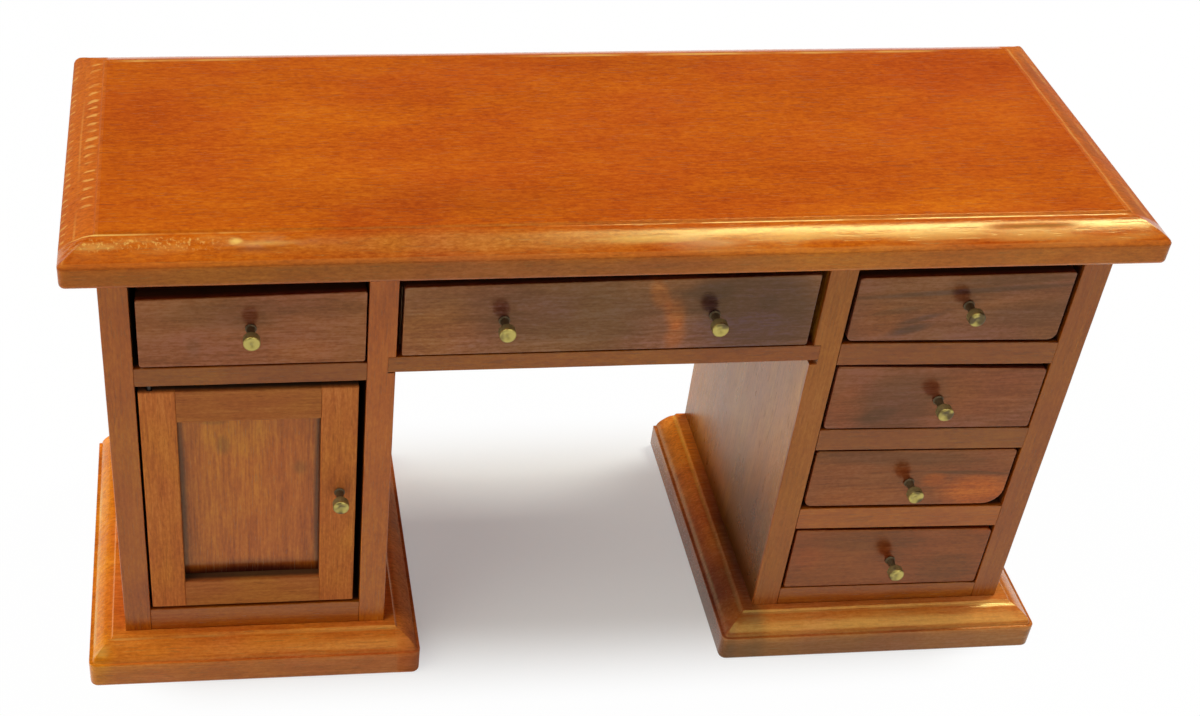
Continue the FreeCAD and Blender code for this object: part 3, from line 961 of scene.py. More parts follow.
def cutter_marks(seed, side_weights):
    """Gives the depth of the cutter's marks along a board's four sides."""
    shape = bpy.context.scene.desk_moulding

    def depth(side, run):
        wander = noise.noise(Vector((run / WANDER_LENGTH, seed, side * 3.7)))
        patchy = noise.noise(Vector((run / PATCHY_LENGTH, seed + 8.5, side * 2.3)))
        sway = noise.noise(Vector((run / shape.sway_pitch, seed + 2.9, side * 5.1)))
        wave = 0.5 - 0.5 * math.cos(2 * math.pi * run / shape.chatter_pitch + WANDER * wander)
        level = side_weights[side] * clamped(PATCHY_MIDDLE + PATCHY_SPREAD * patchy)
        return shape.chatter_depth * wave * level + shape.sway_depth * (0.5 - 0.5 * sway)

    return depth


def lathe(bm, x, z, face_y, outline, segments):
    """Turns an outline of radius and stand-out pairs round an axis along Y."""
    rings = []
    for radius, out in outline:
        if radius <= 0.0:
            rings.append([bm.verts.new((x, face_y - out, z))])
            continue
        ring = []
        for i in range(segments):
            turn = 2 * math.pi * i / segments
            place = (x + radius * math.cos(turn), face_y - out, z + radius * math.sin(turn))
            ring.append(bm.verts.new(place))
        rings.append(ring)
    for first, second in zip(rings, rings[1:]):
        join_rings(bm, first, second)


def join_rings(bm, first, second):
    count = max(len(first), len(second))
    for i in range(count):
        j = (i + 1) % count
        if len(first) == 1:
            bm.faces.new((first[0], second[j], second[i]))
        elif len(second) == 1:
            bm.faces.new((first[i], first[j], second[0]))
        else:
            bm.faces.new((first[i], first[j], second[j], second[i]))


KNOB_EASE = 0.08 * MM
PEG_LENGTH = 1.0 * MM
PEG_SHARE = 0.9
COLLAR_UPRIGHT = 0.6
FOOT_RISE = 0.2
NECK_STEPS = 5
NECK_HOLLOW = 0.03 * MM
FLARE_STEPS = 8
FLARE_SWELL = 0.55
RIM_STEPS = 6
RIM_START = 0.35 * MM
FACE_EASE = (0.82, 0.03 * MM)
DIMPLE = ((0.45, 0.6), (0.2, 0.92), (0.0, 1.0))


def part_way(start, end, along):
    return start + (end - start) * along


def knob_outline():
    """Radius and stand-out of a knob, from the wood to the middle of its dimpled face."""
    knob = bpy.context.scene.desk_knob
    ease = KNOB_EASE
    peg = knob.neck_radius * PEG_SHARE
    collar = knob.collar_radius
    neck_start = knob.collar_height + ease
    points = [(0.0, -PEG_LENGTH), (peg, -PEG_LENGTH), (peg, 0.0)]
    points += [(collar - ease, 0.0), (collar, ease), (collar, knob.collar_height * COLLAR_UPRIGHT)]
    points.append((collar - ease, knob.collar_height))
    points.append((knob.foot_radius + ease, knob.collar_height + FOOT_RISE * ease))
    for i in range(NECK_STEPS):
        along = i / NECK_STEPS
        radius = part_way(knob.foot_radius, knob.neck_radius, along) - NECK_HOLLOW * math.sin(math.pi * along)
        points.append((radius, part_way(neck_start, knob.neck_end, along)))
    for i in range(FLARE_STEPS + 1):
        along = i / FLARE_STEPS
        swell = along * along * (3 - 2 * along)
        radius = part_way(knob.neck_radius, knob.head_radius - ease, part_way(along, swell, FLARE_SWELL))
        points.append((radius, part_way(knob.neck_end, knob.head_start, along)))
    points += [(knob.head_radius, knob.head_start + ease), (knob.head_radius, knob.head_end - RIM_START)]
    for i in range(1, RIM_STEPS + 1):
        turn = math.pi / 2 * i / RIM_STEPS
        radius = part_way(knob.face_radius, knob.head_radius, math.cos(turn))
        points.append((radius, part_way(knob.head_end, knob.full_length, math.sin(turn))))
    points.append((knob.face_radius * FACE_EASE[0], knob.full_length - FACE_EASE[1]))
    for radius_share, depth_share in DIMPLE:
        points.append((knob.face_radius * radius_share, knob.full_length - knob.dimple * depth_share))
    return points


# Operators


# Pale colours of worn wood, also used for painted highlights, glints and sheen
PALE = (0.82, 0.42, 0.10)
CREAM = (0.95, 0.60, 0.15)
QUIRK_SHADE = (0.26, 0.05, 0.006)
WHOLE_DEPTH = ("Y", -23.6, 24.0, 0.4)
FRONT_QUIRK = ("Y", -24.05, -23.80, 0.06)
BACK_EDGE = ("Y", 22.7, 23.3, 0.15)
OLIVE_SHADE = (0.24, 0.10, 0.01)
# Painted sheen: the milky haze of a highlight on the front ovolo
PAINTED_SHEEN = (0.98, 1.55, 6.5)
TOP_LOOK = Look(
    "X", 2, tinted(0.95, (1.0, 0.96, 0.8)),
    patches=(
        Patch(-35.0, 76.6, 60.0, 2.0, (0.72, 0.77, 3.2), ragged=0.6),
        Patch(45.0, 76.6, 45.0, 2.0, (0.90, 0.95, 2.9), ragged=0.6),
    ),
    worn=(
        Spot(-38.0, 3.0, 30.0, 12.0, (1.05, 1.10, 1.0), 0.9, "MULTIPLY"),
        Spot(-25.0, -18.0, 30.0, 6.0, (0.90, 0.93, 1.2), 0.9, "MULTIPLY"),
        Spot(60.0, 6.0, 26.0, 22.0, (0.98, 0.88, 0.9), 0.9, "MULTIPLY"),
        Spot(14.0, 20.0, 30.0, 4.0, (0.90, 0.86, 0.9), 0.9, "MULTIPLY"),
        # Painted highlight: a golden glow near the front of the field
        Spot(37.0, -21.6, 22.0, 1.8, (1.15, 1.35, 1.0), 0.9, "MULTIPLY"),
        # Pale bars of torn end grain on the left end's ovolo, worn and partly painted as glints
        Ladder((("X", -72.1, -70.7, 0.3), ("Y", -17.0, 24.0, 2.0)), 2.2, PALE, 0.7),
        # Painted highlight: a pale line along the left end's ovolo
        Worn((("X", -72.95, -72.65, 0.1), WHOLE_DEPTH), (0.3, 0.08, 0.3), 0.35, PALE, 0.25, 0.3, 0.5),
        # The same pale bars along the rim of the left end, worn and partly painted as glints
        Ladder((("X", -74.9, -74.1, 0.2), ("Y", -24.0, 24.0, 2.0)), 1.7, PALE, 0.6),
        # Worn arris of the front quirk, partly painted as a glint
        Worn((FRONT_QUIRK, ("X", -72.5, -64.0, 2.5)), (0.1, 0.3, 0.3), 0.2, CREAM, 0.8, 0.3),
        Worn((FRONT_QUIRK, ("X", -64.0, -46.0, 6.0)), (0.16, 0.3, 0.3), 0.35, CREAM, 0.4, 0.3),
        Worn((FRONT_QUIRK, ("X", 0.0, 66.0, 5.0)), (0.09, 0.3, 0.3), 0.28, CREAM, 0.6, 0.35),
        # Painted highlight: pale haze and small glints on the left part of the front ovolo
        Worn((("Y", -26.8, -24.4, 0.8), ("X", -73.5, -44.0, 8.0)), (0.22, 0.5, 0.5), 0.34, CREAM, 0.16, 0.4),
        Worn((("Y", -26.4, -24.6, 0.5), ("X", -73.5, -55.0, 4.0)), (2.3, 2.0, 0.5), 0.50, CREAM, 0.6, 0.25),
        # Painted sheen: the lower part of the front ovolo golden at the right
        Worn((("Y", -28.2, -25.6, 0.6), ("X", 8.0, 73.0, 6.0)), (0.06, 0.55, 0.3), 0.38, PALE, 0.55, 0.3),
        # Painted highlight: a pale line along the back quirk
        Worn((BACK_EDGE, ("X", -67.0, -48.0, 3.0)), (0.12, 0.3, 0.3), 0.30, CREAM, 0.5, 0.3),
        Worn((BACK_EDGE, ("X", -4.0, 64.0, 8.0)), (0.08, 0.3, 0.3), 0.34, CREAM, 0.6, 0.3),
        # Painted sheen: a milky haze on the left part of the front ovolo
        Spot(-20.0, -26.2, 34.0, 2.4, PAINTED_SHEEN, 1.0, "MULTIPLY", 0.6),
        Spot(3.0, -26.4, 9.0, 0.6, CREAM, 0.4),
        Spot(55.5, -25.7, 7.5, 0.3, OLIVE_SHADE, 0.7),
        Spot(-51.9, -25.4, 1.0, 0.6, CREAM, 0.9, ragged=0.7),
        Spot(-47.8, -25.8, 4.4, 0.45, CREAM, 0.3),
        Spot(-48.8, -26.6, 4.4, 0.4, QUIRK_SHADE, 0.6),
        Spot(-70.0, -25.8, 3.4, 0.6, CREAM, 0.3),
        # The right end: a pale line on the worn arris of the quirk that is partly a painted highlight,
        # painted shade on the ovolo beyond it, and a painted highlight along its rim
        Worn((("X", 69.9, 70.6, 0.2), WHOLE_DEPTH), (0.3, 0.15, 0.3), 0.30, PALE, 0.4, 0.3, 0.6),
        Worn((("X", 70.9, 72.6, 0.3), WHOLE_DEPTH), (0.3, 0.2, 0.3), 0.3, QUIRK_SHADE, 0.5, 0.3, 0.5),
        Worn((("X", 72.8, 73.6, 0.3), WHOLE_DEPTH), (0.3, 0.3, 0.3), 0.4, PALE, 0.35, 0.3, 0.5),
    ),
    shares=(0.10, 0.20, 0.22, 0.48),
    gloss_tint=GOLDEN_SHINE,
    dull=(
        (("X", 69.6, 80.0, 0.3), ("Y", -24.2, 40.0, 0.6)),
        (("X", -80.0, -69.8, 0.3), ("Y", -24.2, 40.0, 0.6)),
        (("X", 50.0, 61.0, 3.0), ("Y", -26.1, -25.3, 0.4)),
        (("Z", 78.2, 78.9, 0.15), ("Y", -30.0, -27.8, 0.2)),
    ),
)


class DESK_OT_top(bpy.types.Operator):
    """Make the moulded desktop"""

    bl_idname = "desk.make_top"
    bl_label = "Make Desktop"

    MARKS_SEED = 4.2
    MARKS = (0.15, 0.4, 0.5, 1.4)

    def execute(self, context):
        shape = context.scene.desk_moulding
        low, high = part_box("desktop")
        marks = cutter_marks(self.MARKS_SEED, self.MARKS)
        board = MouldedBoard(low, high, Section("top"), shape.corner, True, marks)
        wood = varnished_wood("top_varnish", TOP_LOOK)
        new_piece("dressed_desktop", board.mesh(), wood, "carcass", "top_wood", "desktop")
        return {"FINISHED"}


PLINTH_SIDES = ("Y", -24.6, 30.0, 0.4)
LEFT_PLINTH_FRONT = ("X", -72.8, -28.0, 1.0)
RIGHT_PLINTH_FRONT = ("X", 28.0, 72.8, 1.0)


class DESK_OT_plinths(bpy.types.Operator):
    """Make the two moulded plinths"""

    bl_idname = "desk.make_plinths"
    bl_label = "Make Plinths"

    MARKS = (0.5, 0.9, 0.0, 0.9)
    LOOKS = {
        "left_plinth": Look("X", 5, tinted(1.38, (1.0, 1.33, 4.0)), patches=(
            Patch(-50.0, 1.6, 60.0, 3.4, (0.74, 0.67, 1.2), ragged=0.4),
            # Painted light: the plinth's left side lighter
            Patch(-76.5, 4.0, 3.6, 12.0, (1.16, 1.4, 0.6), ragged=0.3),
            # Painted shade: the side that faces the kneehole darker
            Patch(-23.6, 4.0, 3.0, 12.0, (0.78, 0.72, 1.1), ragged=0.3),
        ), worn=(
            # Worn arris of the front quirk, partly painted as a glint
            Worn((("Y", -25.2, -24.8, 0.1), LEFT_PLINTH_FRONT), (0.1, 0.3, 0.3), 0.3, CREAM, 0.3, 0.3),
            # Painted highlight: a pale line along the ovolo of the left side
            Worn((("X", -75.7, -75.2, 0.2), PLINTH_SIDES), (0.3, 0.15, 0.3), 0.35, CREAM, 0.45, 0.3, 0.5),
            # Painted highlight on the mitre of the front left corner
            Spot(-74.4, -26.6, 1.6, 0.8, CREAM, 0.35),
        ), gloss_tint=GOLDEN_SHINE, dull=((("X", -28.0, -20.0, 0.5),),)),
        # The right plinth's stain is less saturated than the left one's, partly as a painted sheen on its
        # front
        "right_plinth": Look("X", 9, tinted(1.20, (1.0, 1.45, 7.0)), patches=(
            Patch(50.0, 1.6, 60.0, 3.4, (0.52, 0.50, 0.9), ragged=0.4),
            # Painted shade: the side that faces the kneehole darker
            Patch(24.2, 3.0, 2.6, 6.0, (0.75, 0.75, 1.2), ragged=0.4),
        ), worn=(
            # Worn arris of the front quirk, partly painted as a glint
            Worn((("Y", -25.2, -24.8, 0.1), RIGHT_PLINTH_FRONT), (0.1, 0.3, 0.3), 0.25, CREAM, 0.35, 0.3),
            # Painted sheen on the front ovolo
            Worn((("Y", -27.8, -25.0, 0.5), RIGHT_PLINTH_FRONT), (0.06, 0.5, 0.3), 0.36, PALE, 0.22, 0.3),
            # Worn arris of the quirk on the kneehole side, partly painted as a glint
            Worn((("X", 27.6, 28.1, 0.15), PLINTH_SIDES), (0.3, 0.08, 0.3), 0.25, CREAM, 0.3, 0.3, 0.4),
            # Painted highlight near the mitre of the front left corner
            Spot(29.6, -26.0, 2.2, 0.6, CREAM, 0.3),
            # Painted shade on the flat by the inner side, darkest towards the front
            Spot(30.0, -10.0, 2.6, 24.0, (0.24, 0.26, 0.6), 1.0, "MULTIPLY", 0.4),
            Spot(26.6, -19.0, 3.4, 12.0, (0.34, 0.32, 0.5), 1.0, "MULTIPLY", 0.4),
            # Painted light on the back of the kneehole side
            Spot(26.0, 17.0, 4.0, 19.0, (1.6, 1.75, 0.9), 1.0, "MULTIPLY", 0.4),
            Spot(50.0, -24.0, 24.0, 1.2, (0.72, 0.62, 0.7), 0.9, "MULTIPLY", 0.4),
        ), gloss_tint=GOLDEN_SHINE),
    }

    def execute(self, context):
        shape = context.scene.desk_moulding
        section = Section("plinth")
        for node, look in self.LOOKS.items():
            low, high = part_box(node)
            marks = cutter_marks(look.seed, self.MARKS)
            board = MouldedBoard(low, high, section, shape.plinth_corner, False, marks)
            wood = varnished_wood(node + "_varnish", look)
            new_piece("dressed_" + node, board.mesh(), wood, "carcass", "plinth_wood", node)
        return {"FINISHED"}


LEFT_BAY = (-66.6, -33.8)
RIGHT_BAY = (33.8, 66.6)
EVERYWHERE = (-FAR, FAR)
ALL_OVER = (("X", -FAR, FAR, 1.0),)
BROWN = (1.0, 1.16, 1.8)
# Painted reflection: grey in a stain that stands in for the pale floor seen in the varnish of the right inner
# side
PAINTED_FLOOR_REFLECTION = (1.0, 1.78, 4.4)
BEHIND_FRONT = Tone(("Y", -21.5, 40.0, 0.6), (1.05, 1.0, 0.5))
FRONT_EDGE = Tone(("Y", -40.0, -22.9, 0.3), (0.72, 0.51, 0.90))


def side_look(seed, depth, bay):
    """The look of an upright side board that has painted shade where it lies inside a bay."""
    return Look("Z", seed, tinted(depth, BROWN), worn=(BEHIND_FRONT,), between=bay)


def rail_look(seed, depth):
    """The look of a board across an opening, of which only the front edge is clear to see: the rest has
    painted shade.
    """
    return Look("X", seed, tinted(depth, BROWN), between=EVERYWHERE)


CASE_LOOKS = {
    "left_outer_side": side_look(20, 0.79, LEFT_BAY),
    "left_inner_side": side_look(21, 0.89, LEFT_BAY),
    # Right inner side: a painted floor reflection in its stain, and a tone of its own on its front edge
    "right_inner_side": Look("Z", 22, tinted(0.95, PAINTED_FLOOR_REFLECTION), patches=(
        # Painted shade at the foot of the board, darkest towards the front
        SidePatch(-20.0, 6.0, 24.0, 22.0, (0.34, 0.31, 0.42), ragged=0.3),
        SidePatch(0.0, 6.0, 60.0, 5.0, (0.55, 0.48, 0.5), ragged=0.3),
    ), worn=(FRONT_EDGE,), between=RIGHT_BAY, gloss_tint=CLEAR_SHINE, rough=0.08),
    "right_outer_side": side_look(23, 0.62, RIGHT_BAY),
    "left_top_rail": rail_look(30, 0.50),
    "centre_top_rail": rail_look(31, 0.50),
    "right_top_rail": rail_look(32, 0.50),
    "left_bottom": rail_look(33, 0.73),
    "right_bottom": rail_look(34, 0.66),
    "left_divider": rail_look(35, 0.54),
    "right_divider_1": rail_look(36, 0.53),
    "right_divider_2": rail_look(37, 0.52),
    "right_divider_3": rail_look(38, 0.76),
    "centre_shelf": Look("X", 39, tinted(0.58, BROWN)),
}


class DESK_OT_case(bpy.types.Operator):
    """Finish the boards of both pedestals and the bay between them"""

    bl_idname = "desk.finish_case"
    bl_label = "Finish Case"

    BACKS = ("left_back", "right_back", "centre_back")

    def execute(self, context):
        shape = context.scene.desk_sanding
        for node, look in CASE_LOOKS.items():
            sand_and_varnish(node, look, "case_wood", shape.case_step, shape.case_arris, look.grain)
        for seed, node in enumerate(self.BACKS, 50):
            look = Look("Z", seed, tinted(0.6, BROWN), dull=(ALL_OVER,))
            dress(node, varnished_wood(node + "_stain", look))
        return {"FINISHED"}


FRONT_SHINE = (1.0, 0.56, 0.22)
PURPLE = (0.57, 0.63, 0.75)
DEEP = (0.27, 0.33, 0.75)
GOLD = (2.33, 2.09, 0.35)
GLOW = (2.2, 1.6, 0.5)
AMBER = (1.62, 1.43, 0.6)


def drawer_look(seed, stain, patches):
    """The look of a drawer front: its stain, the patches of its figure, and painted shade on its edges inside
    the opening.
    """
    return Look("X", seed, stain, 1.9, patches, between=EVERYWHERE, gloss_tint=FRONT_SHINE,
                gloss="front_gloss")


FRONT_LOOKS = {
    "left_drawer": drawer_look(60, tinted(0.495, (1.0, 1.40, 14.9)), (
        Patch(-54.0, 67.5, 9.0, 3.0, PURPLE, 0.6),
        Patch(-40.0, 68.0, 6.0, 2.0, PURPLE, 0.4),
        Patch(-58.0, 62.0, 1.2, 1.8, PURPLE, 0.5),
        Patch(-43.0, 61.0, 6.0, 2.0, AMBER, 0.25),
    )),
    "centre_drawer": drawer_look(61, tinted(0.450, (1.0, 1.80, 24.0)), (
        Patch(-4.0, 66.0, 13.0, 7.0, PURPLE, 1.0),
        Patch(21.0, 65.5, 11.0, 9.0, DEEP, 1.0, ragged=0.6),
        Patch(13.5, 69.0, 3.0, 1.6, DEEP, 0.7),
        Patch(22.0, 67.0, 1.6, 1.4, DEEP, 0.5),
        Patch(6.3, 68.8, 1.3, 2.6, GLOW, 0.65, 25.0, 0.4),
        Patch(8.9, 65.4, 1.5, 2.6, GLOW, 0.8, 12.0, 0.4),
        Patch(9.4, 61.8, 1.5, 2.4, GLOW, 0.55, -8.0, 0.4),
        Patch(-25.0, 62.0, 6.0, 5.0, AMBER, 0.4),
    )),
    "right_drawer_1": drawer_look(62, tinted(0.360, (1.0, 1.55, 20.0)), (
        Patch(50.5, 68.1, 17.0, 0.5, DEEP, 0.8, 2.7, 0.3),
        Patch(57.0, 69.9, 10.0, 0.9, PURPLE, 0.8, 3.0),
        Patch(43.5, 61.7, 3.2, 0.8, DEEP, 0.9, 14.0, 0.6),
        Patch(45.0, 63.6, 3.4, 0.5, DEEP, 0.7, 16.0, 0.6),
        Patch(41.0, 65.0, 4.0, 0.5, PURPLE, 0.7, 8.0, 0.6),
        Patch(60.0, 64.4, 8.0, 2.2, PURPLE, 0.6, 4.0, 0.8),
        Patch(38.5, 63.0, 3.0, 3.0, AMBER, 0.35),
        Patch(57.0, 66.0, 7.0, 1.2, AMBER, 0.35, 3.0),
    )),
    "right_drawer_2": drawer_look(63, tinted(0.390, (1.0, 1.24, 17.0)), (
        Patch(44.0, 48.8, 6.0, 6.0, PURPLE, 0.9),
        Patch(42.3, 46.2, 2.6, 1.2, DEEP, 0.5, 20.0),
        Patch(37.5, 48.0, 2.6, 4.0, AMBER, 0.35),
        Patch(58.0, 50.0, 7.0, 4.0, AMBER, 0.35),
    )),
    "right_drawer_3": drawer_look(64, tinted(0.405, (1.0, 1.08, 9.0)), (
        Patch(46.0, 38.0, 15.0, 1.8, PURPLE, 0.9, -4.0),
        Patch(61.5, 30.4, 5.6, 3.2, GOLD, 0.9, ragged=0.5),
        Patch(54.0, 33.0, 1.9, 1.2, GOLD, 0.55, ragged=0.5),
        Patch(59.5, 34.2, 7.0, 0.4, DEEP, 0.7, -4.0, 0.4),
        Patch(42.0, 30.0, 7.0, 2.0, AMBER, 0.35),
    )),
    "right_drawer_4": drawer_look(65, tinted(0.410, (1.0, 0.88, 4.5)), (
        Patch(46.0, 20.5, 10.0, 2.6, PURPLE, 0.6),
        Patch(60.0, 14.0, 5.0, 3.0, PURPLE, 0.5),
        Patch(37.5, 17.5, 2.6, 3.0, AMBER, 0.35),
        Patch(64.5, 22.2, 2.0, 0.8, AMBER, 0.5),
    )),
}


class DESK_OT_drawers(bpy.types.Operator):
    """Finish the drawer fronts and their boxes"""

    bl_idname = "desk.finish_drawers"
    bl_label = "Finish Drawers"

    def execute(self, context):
        shape = context.scene.desk_sanding
        for name, look in FRONT_LOOKS.items():
            sand_and_varnish(name + "_front", look, "front_wood", shape.front_step, shape.front_arris)
            inside = bare_wood(name + "_sanded", "Y", look.seed)
            for piece in ("_sides", "_back", "_bottom"):
                dress(name + piece, inside)
        return {"FINISHED"}


# Painted shade in the recess round the door panel
PAINTED_REVEAL_SHADE = (0.36, 0.32, 1.0)
DEEP_PAINTED_REVEAL_SHADE = (0.14, 0.10, 0.8)
PANEL_GLOW = (1.05, 1.25, 1.0)
DOOR_BROWN = (1.0, 1.40, 4.6)


def bar_look(grain, seed, depth):
    """The look of a stile or rail of the door, with painted shade on its edges inside the opening."""
    return Look(grain, seed, tinted(depth, DOOR_BROWN), 1.1, between=EVERYWHERE, dull=(ALL_OVER,))


DOOR_LOOKS = {
    "door_hinge_stile": bar_look("Z", 80, 1.05),
    "door_lock_stile": bar_look("Z", 81, 1.00),
    "door_top_rail": bar_look("X", 82, 0.745),
    "door_bottom_rail": bar_look("X", 83, 0.78),
    "door_panel": Look("Z", 84, tinted(0.93, BROWN), 1.3, (
        # Painted shade in the panel's recess: a dark band along the bottom and darker lines along the sides
        # and top
        Patch(-50.6, 16.4, 14.0, 3.0, DEEP_PAINTED_REVEAL_SHADE, ragged=0.0),
        Patch(-61.0, 33.0, 1.0, 22.0, PAINTED_REVEAL_SHADE, ragged=0.1),
        Patch(-40.3, 32.0, 0.8, 22.0, PAINTED_REVEAL_SHADE, ragged=0.1),
        Patch(-51.0, 48.8, 14.0, 0.8, PAINTED_REVEAL_SHADE, 0.6, ragged=0.2),
        Patch(-52.0, 44.5, 7.0, 4.0, PANEL_GLOW, 0.8),
        Patch(-54.3, 42.6, 1.1, 1.8, PURPLE, 0.7),
        Patch(-43.3, 38.0, 1.1, 1.5, PURPLE, 0.7),
        Patch(-56.0, 47.3, 3.0, 0.7, PURPLE, 0.6),
    ), shares=(0.2, 0.42, 0.16, 0.22)),
}


class DESK_OT_door(bpy.types.Operator):
    """Finish the frame, panel and hinge pins of the cupboard door"""

    bl_idname = "desk.finish_door"
    bl_label = "Finish Door"

    def execute(self, context):
        shape = context.scene.desk_sanding
        for node, look in DOOR_LOOKS.items():
            slot = "panel_wood" if node == "door_panel" else "front_wood"
            sand_and_varnish(node, look, slot, shape.front_step, shape.door_arris, "XZ")
        dress("door_hinge_pins", pin_steel("hinge_wire"))
        return {"FINISHED"}


class DESK_OT_knobs(bpy.types.Operator):
    """Turn the brass knobs"""

    bl_idname = "desk.turn_knobs"
    bl_label = "Turn Knobs"

    SEGMENTS = 48

    def execute(self, context):
        bodies = {name + "_knob": name for name in FRONT_LOOKS if name != "centre_drawer"}
        bodies["centre_drawer_knobs"] = "centre_drawer"
        bodies["door_knob"] = "door"
        outline = knob_outline()
        knob = context.scene.desk_knob
        face_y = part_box("left_drawer_knob")[0].y + knob.full_length
        brass = knob_brass("turned_brass", face_y)
        for node, body in bodies.items():
            low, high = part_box(node)
            bm = bmesh.new()
            z = (low.z + high.z) / 2
            across = {low.x + knob.head_radius, high.x - knob.head_radius}
            if high.x - low.x < 3 * knob.head_radius:
                across = {(low.x + high.x) / 2}
            for x in sorted(across):
                lathe(bm, x, z, face_y, outline, self.SEGMENTS)
            new_piece("turned_" + node, bm, brass, body, "knob_brass", node)
        return {"FINISHED"}


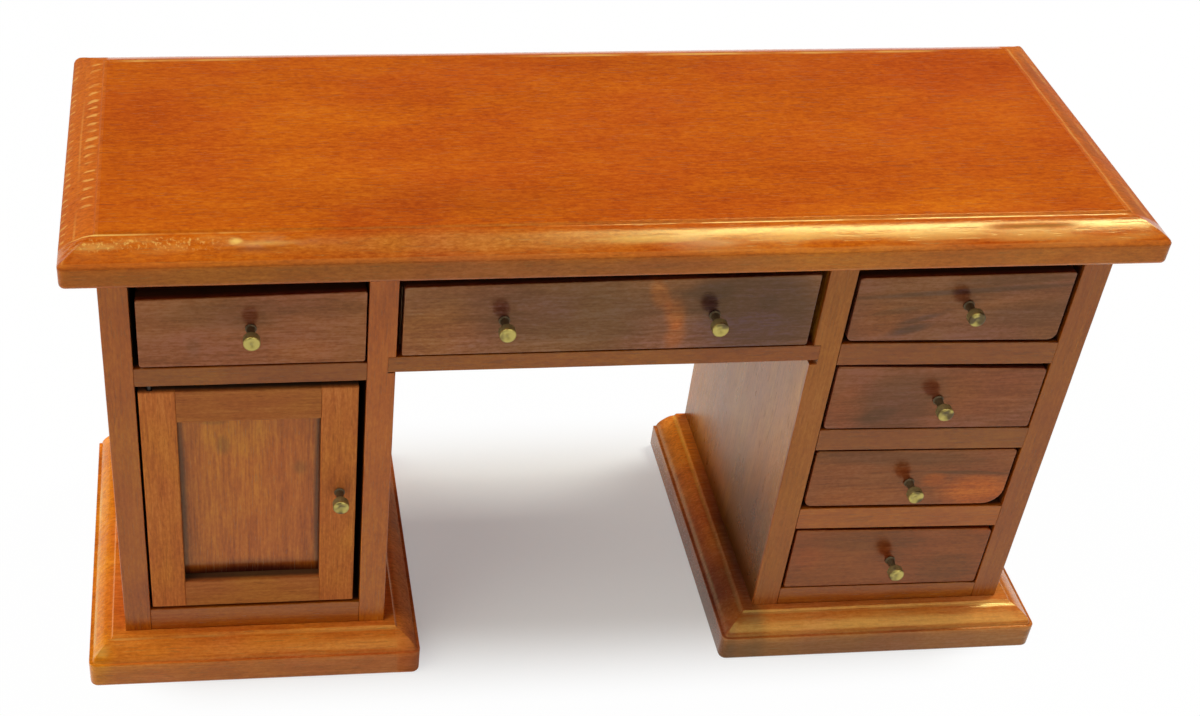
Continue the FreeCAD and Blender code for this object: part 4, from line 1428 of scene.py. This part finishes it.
class DESK_OT_stage(bpy.types.Operator):
    """Set the floor, the lamps and the camera"""

    bl_idname = "desk.set_stage"
    bl_label = "Set Stage"

    FLOOR_HALF = 6.0
    FLOOR_TOOTH = 0.985
    CLEAR_WHITE = 0.98
    SHADED_INSET = Vector((20.0, 12.0))
    HORIZON_TOP = 0.06
    SKY_START = 0.25
    WHITE = (1.0, 1.0, 1.0)

    def execute(self, context):
        stage = context.scene.desk_stage
        self.make_floor(stage)
        self.light_world(context.scene, stage)
        self.hang_lamps(stage)
        self.place_camera(context.scene, stage)
        return {"FINISHED"}

    def make_floor(self, stage):
        bm = bmesh.new()
        corners = [(-1, -1), (1, -1), (1, 1), (-1, 1)]
        bm.faces.new([bm.verts.new((x * self.FLOOR_HALF, y * self.FLOOR_HALF, 0.0)) for x, y in corners])
        material, start = new_material("pale_floor")
        place = millimetres(start)
        tooth = cloud(place, (0.8, 0.8, 0.8), (0.0, 0.0, 0.0), 2.0)
        shade = mix(tooth, scaled_colour(stage.floor, self.FLOOR_TOOTH), stage.floor)
        sockets = {"Base Color": shade, "Roughness": 0.9, "Specular IOR Level": 0.1}
        lit = start.add("ShaderNodeBsdfPrincipled", None, sockets)
        white = start.add("ShaderNodeEmission", None, {"Strength": 1.0})
        clear = self.clear_floor(place, stage.shade_fade / MM)
        glow = stage.floor_glow + (1.0 - stage.floor_glow) * self.CLEAR_WHITE * clear
        lifted = start.add("ShaderNodeMixShader", None, {0: self.seen_rays(start) * glow, 1: lit, 2: white})
        start.add("ShaderNodeOutputMaterial", None, {"Surface": lifted})
        floor = put_in_scene("stage_floor", finished_mesh("stage_floor", bm, material))

    def seen_rays(self, start):
        """1 for the rays that show the background, 0 for those that light the desk."""
        kinds = ("Is Camera Ray", "Is Glossy Ray", "Is Transmission Ray")
        return sum(start.add("ShaderNodeLightPath", output=kind) for kind in kinds)

    def clear_floor(self, place, fade):
        """0 under the desk, 1 on the floor well away from it."""
        shaded = CAD_BOX[1].xy / MM - self.SHADED_INSET
        beyond = place.vector("ABSOLUTE").vector("SUBTRACT", (*shaded, 0.0))
        reach = beyond.vector("MAXIMUM", (0.0, 0.0, 0.0)).vector("LENGTH", output="Value")
        return smooth(reach, 0.0, fade)

    def light_world(self, scene, stage):
        """A dim sky over a paler horizon, which is seen as white."""
        world = bpy.data.worlds.new("pale_room")
        world.use_nodes = True
        world.node_tree.nodes.clear()
        start = Wire(world.node_tree)
        up = start.add("ShaderNodeTexCoord", output="Generated").axis("Z")
        stops = [(self.HORIZON_TOP, stage.horizon), (self.SKY_START, stage.sky)]
        shade = start.add("ShaderNodeValToRGB", {"stops": stops}, {0: up})
        low = 1.0 - smooth(up, self.HORIZON_TOP, self.SKY_START)
        shade = mix(self.seen_rays(start) * low, shade, self.WHITE)
        light = start.add("ShaderNodeBackground", None, {"Color": shade, "Strength": 1.0})
        start.add("ShaderNodeOutputWorld", None, {"Surface": light})
        scene.world = world

    def hang_lamps(self, stage):
        key = bpy.data.lights.new("key_lamp", "SUN")
        key.energy = stage.key
        key.angle = stage.key_spread
        self.hang(key, stage, stage.key_way)
        strip = self.board_lamp("strip_lamp", stage.strip, stage.strip_length, stage.strip_width)
        self.hang(strip, stage, stage.strip_place)
        card = self.board_lamp("shine_card", stage.card, stage.card_length, stage.card_width)
        self.hang(card, stage, stage.card_place).visible_diffuse = False

    def board_lamp(self, name, watts, long_side, short_side):
        """A lamp that shines from a flat board."""
        lamp = bpy.data.lights.new(name, "AREA")
        lamp.energy = watts
        lamp.shape = "RECTANGLE"
        lamp.size = long_side
        lamp.size_y = short_side
        return lamp

    def hang(self, lamp, stage, place):
        """Hangs a lamp at a place, facing the desk, with its length from left to right."""
        lamp.color = stage.lamp_colour
        back = place.normalized()
        along = (Vector((1.0, 0.0, 0.0)) - back * back.x).normalized()
        turned = Matrix((along, back.cross(along), back)).transposed().to_4x4()
        hung = put_in_scene(lamp.name, lamp)
        hung.matrix_world = Matrix.Translation(place) @ turned
        return hung

    def place_camera(self, scene, stage):
        camera = bpy.data.cameras.new("photo_camera")
        camera.lens = stage.camera_lens
        camera.sensor_width = 36.0
        camera.sensor_fit = "HORIZONTAL"
        camera.shift_x, camera.shift_y = stage.camera_shift
        camera.clip_start = 0.01
        camera.clip_end = 50.0
        held = put_in_scene("photo_camera", camera)
        turned = Matrix.Rotation(-stage.camera_heading, 4, "Z")
        turned = turned @ Matrix.Rotation(math.pi / 2 - stage.camera_pitch, 4, "X")
        turned = turned @ Matrix.Rotation(stage.camera_roll, 4, "Z")
        held.matrix_world = Matrix.Translation(stage.camera_place) @ turned
        scene.camera = held
        scene.view_settings.view_transform = "Standard"


class DESK_PT_panel(bpy.types.Panel):
    """Lists the steps that dress the desk"""

    bl_idname = "DESK_PT_panel"
    bl_label = "Desk"
    bl_space_type = "VIEW_3D"
    bl_region_type = "UI"
    bl_category = "Desk"

    def draw(self, context):
        for operator in OPERATORS:
            self.layout.operator(operator.bl_idname)


GROUPS = {
    "desk_wood": DeskWood,
    "desk_brass": DeskBrass,
    "desk_moulding": DeskMoulding,
    "desk_sanding": DeskSanding,
    "desk_knob": DeskKnob,
    "desk_stage": DeskStage,
}
OPERATORS = (
    DESK_OT_top,
    DESK_OT_plinths,
    DESK_OT_case,
    DESK_OT_drawers,
    DESK_OT_door,
    DESK_OT_knobs,
    DESK_OT_stage,
)


def register():
    for name, group in GROUPS.items():
        bpy.utils.register_class(group)
        setattr(bpy.types.Scene, name, bpy.props.PointerProperty(type=group))
    for operator in OPERATORS:
        bpy.utils.register_class(operator)
    bpy.utils.register_class(DESK_PT_panel)


def unregister():
    bpy.utils.unregister_class(DESK_PT_panel)
    for operator in reversed(OPERATORS):
        bpy.utils.unregister_class(operator)
    for name, group in reversed(GROUPS.items()):
        delattr(bpy.types.Scene, name)
        bpy.utils.unregister_class(group)


def main():
    register()
    bpy.ops.desk.make_top()
    bpy.ops.desk.make_plinths()
    bpy.ops.desk.finish_case()
    bpy.ops.desk.finish_drawers()
    bpy.ops.desk.finish_door()
    bpy.ops.desk.turn_knobs()
    bpy.ops.desk.set_stage()


if __name__ == "__main__":
    main()
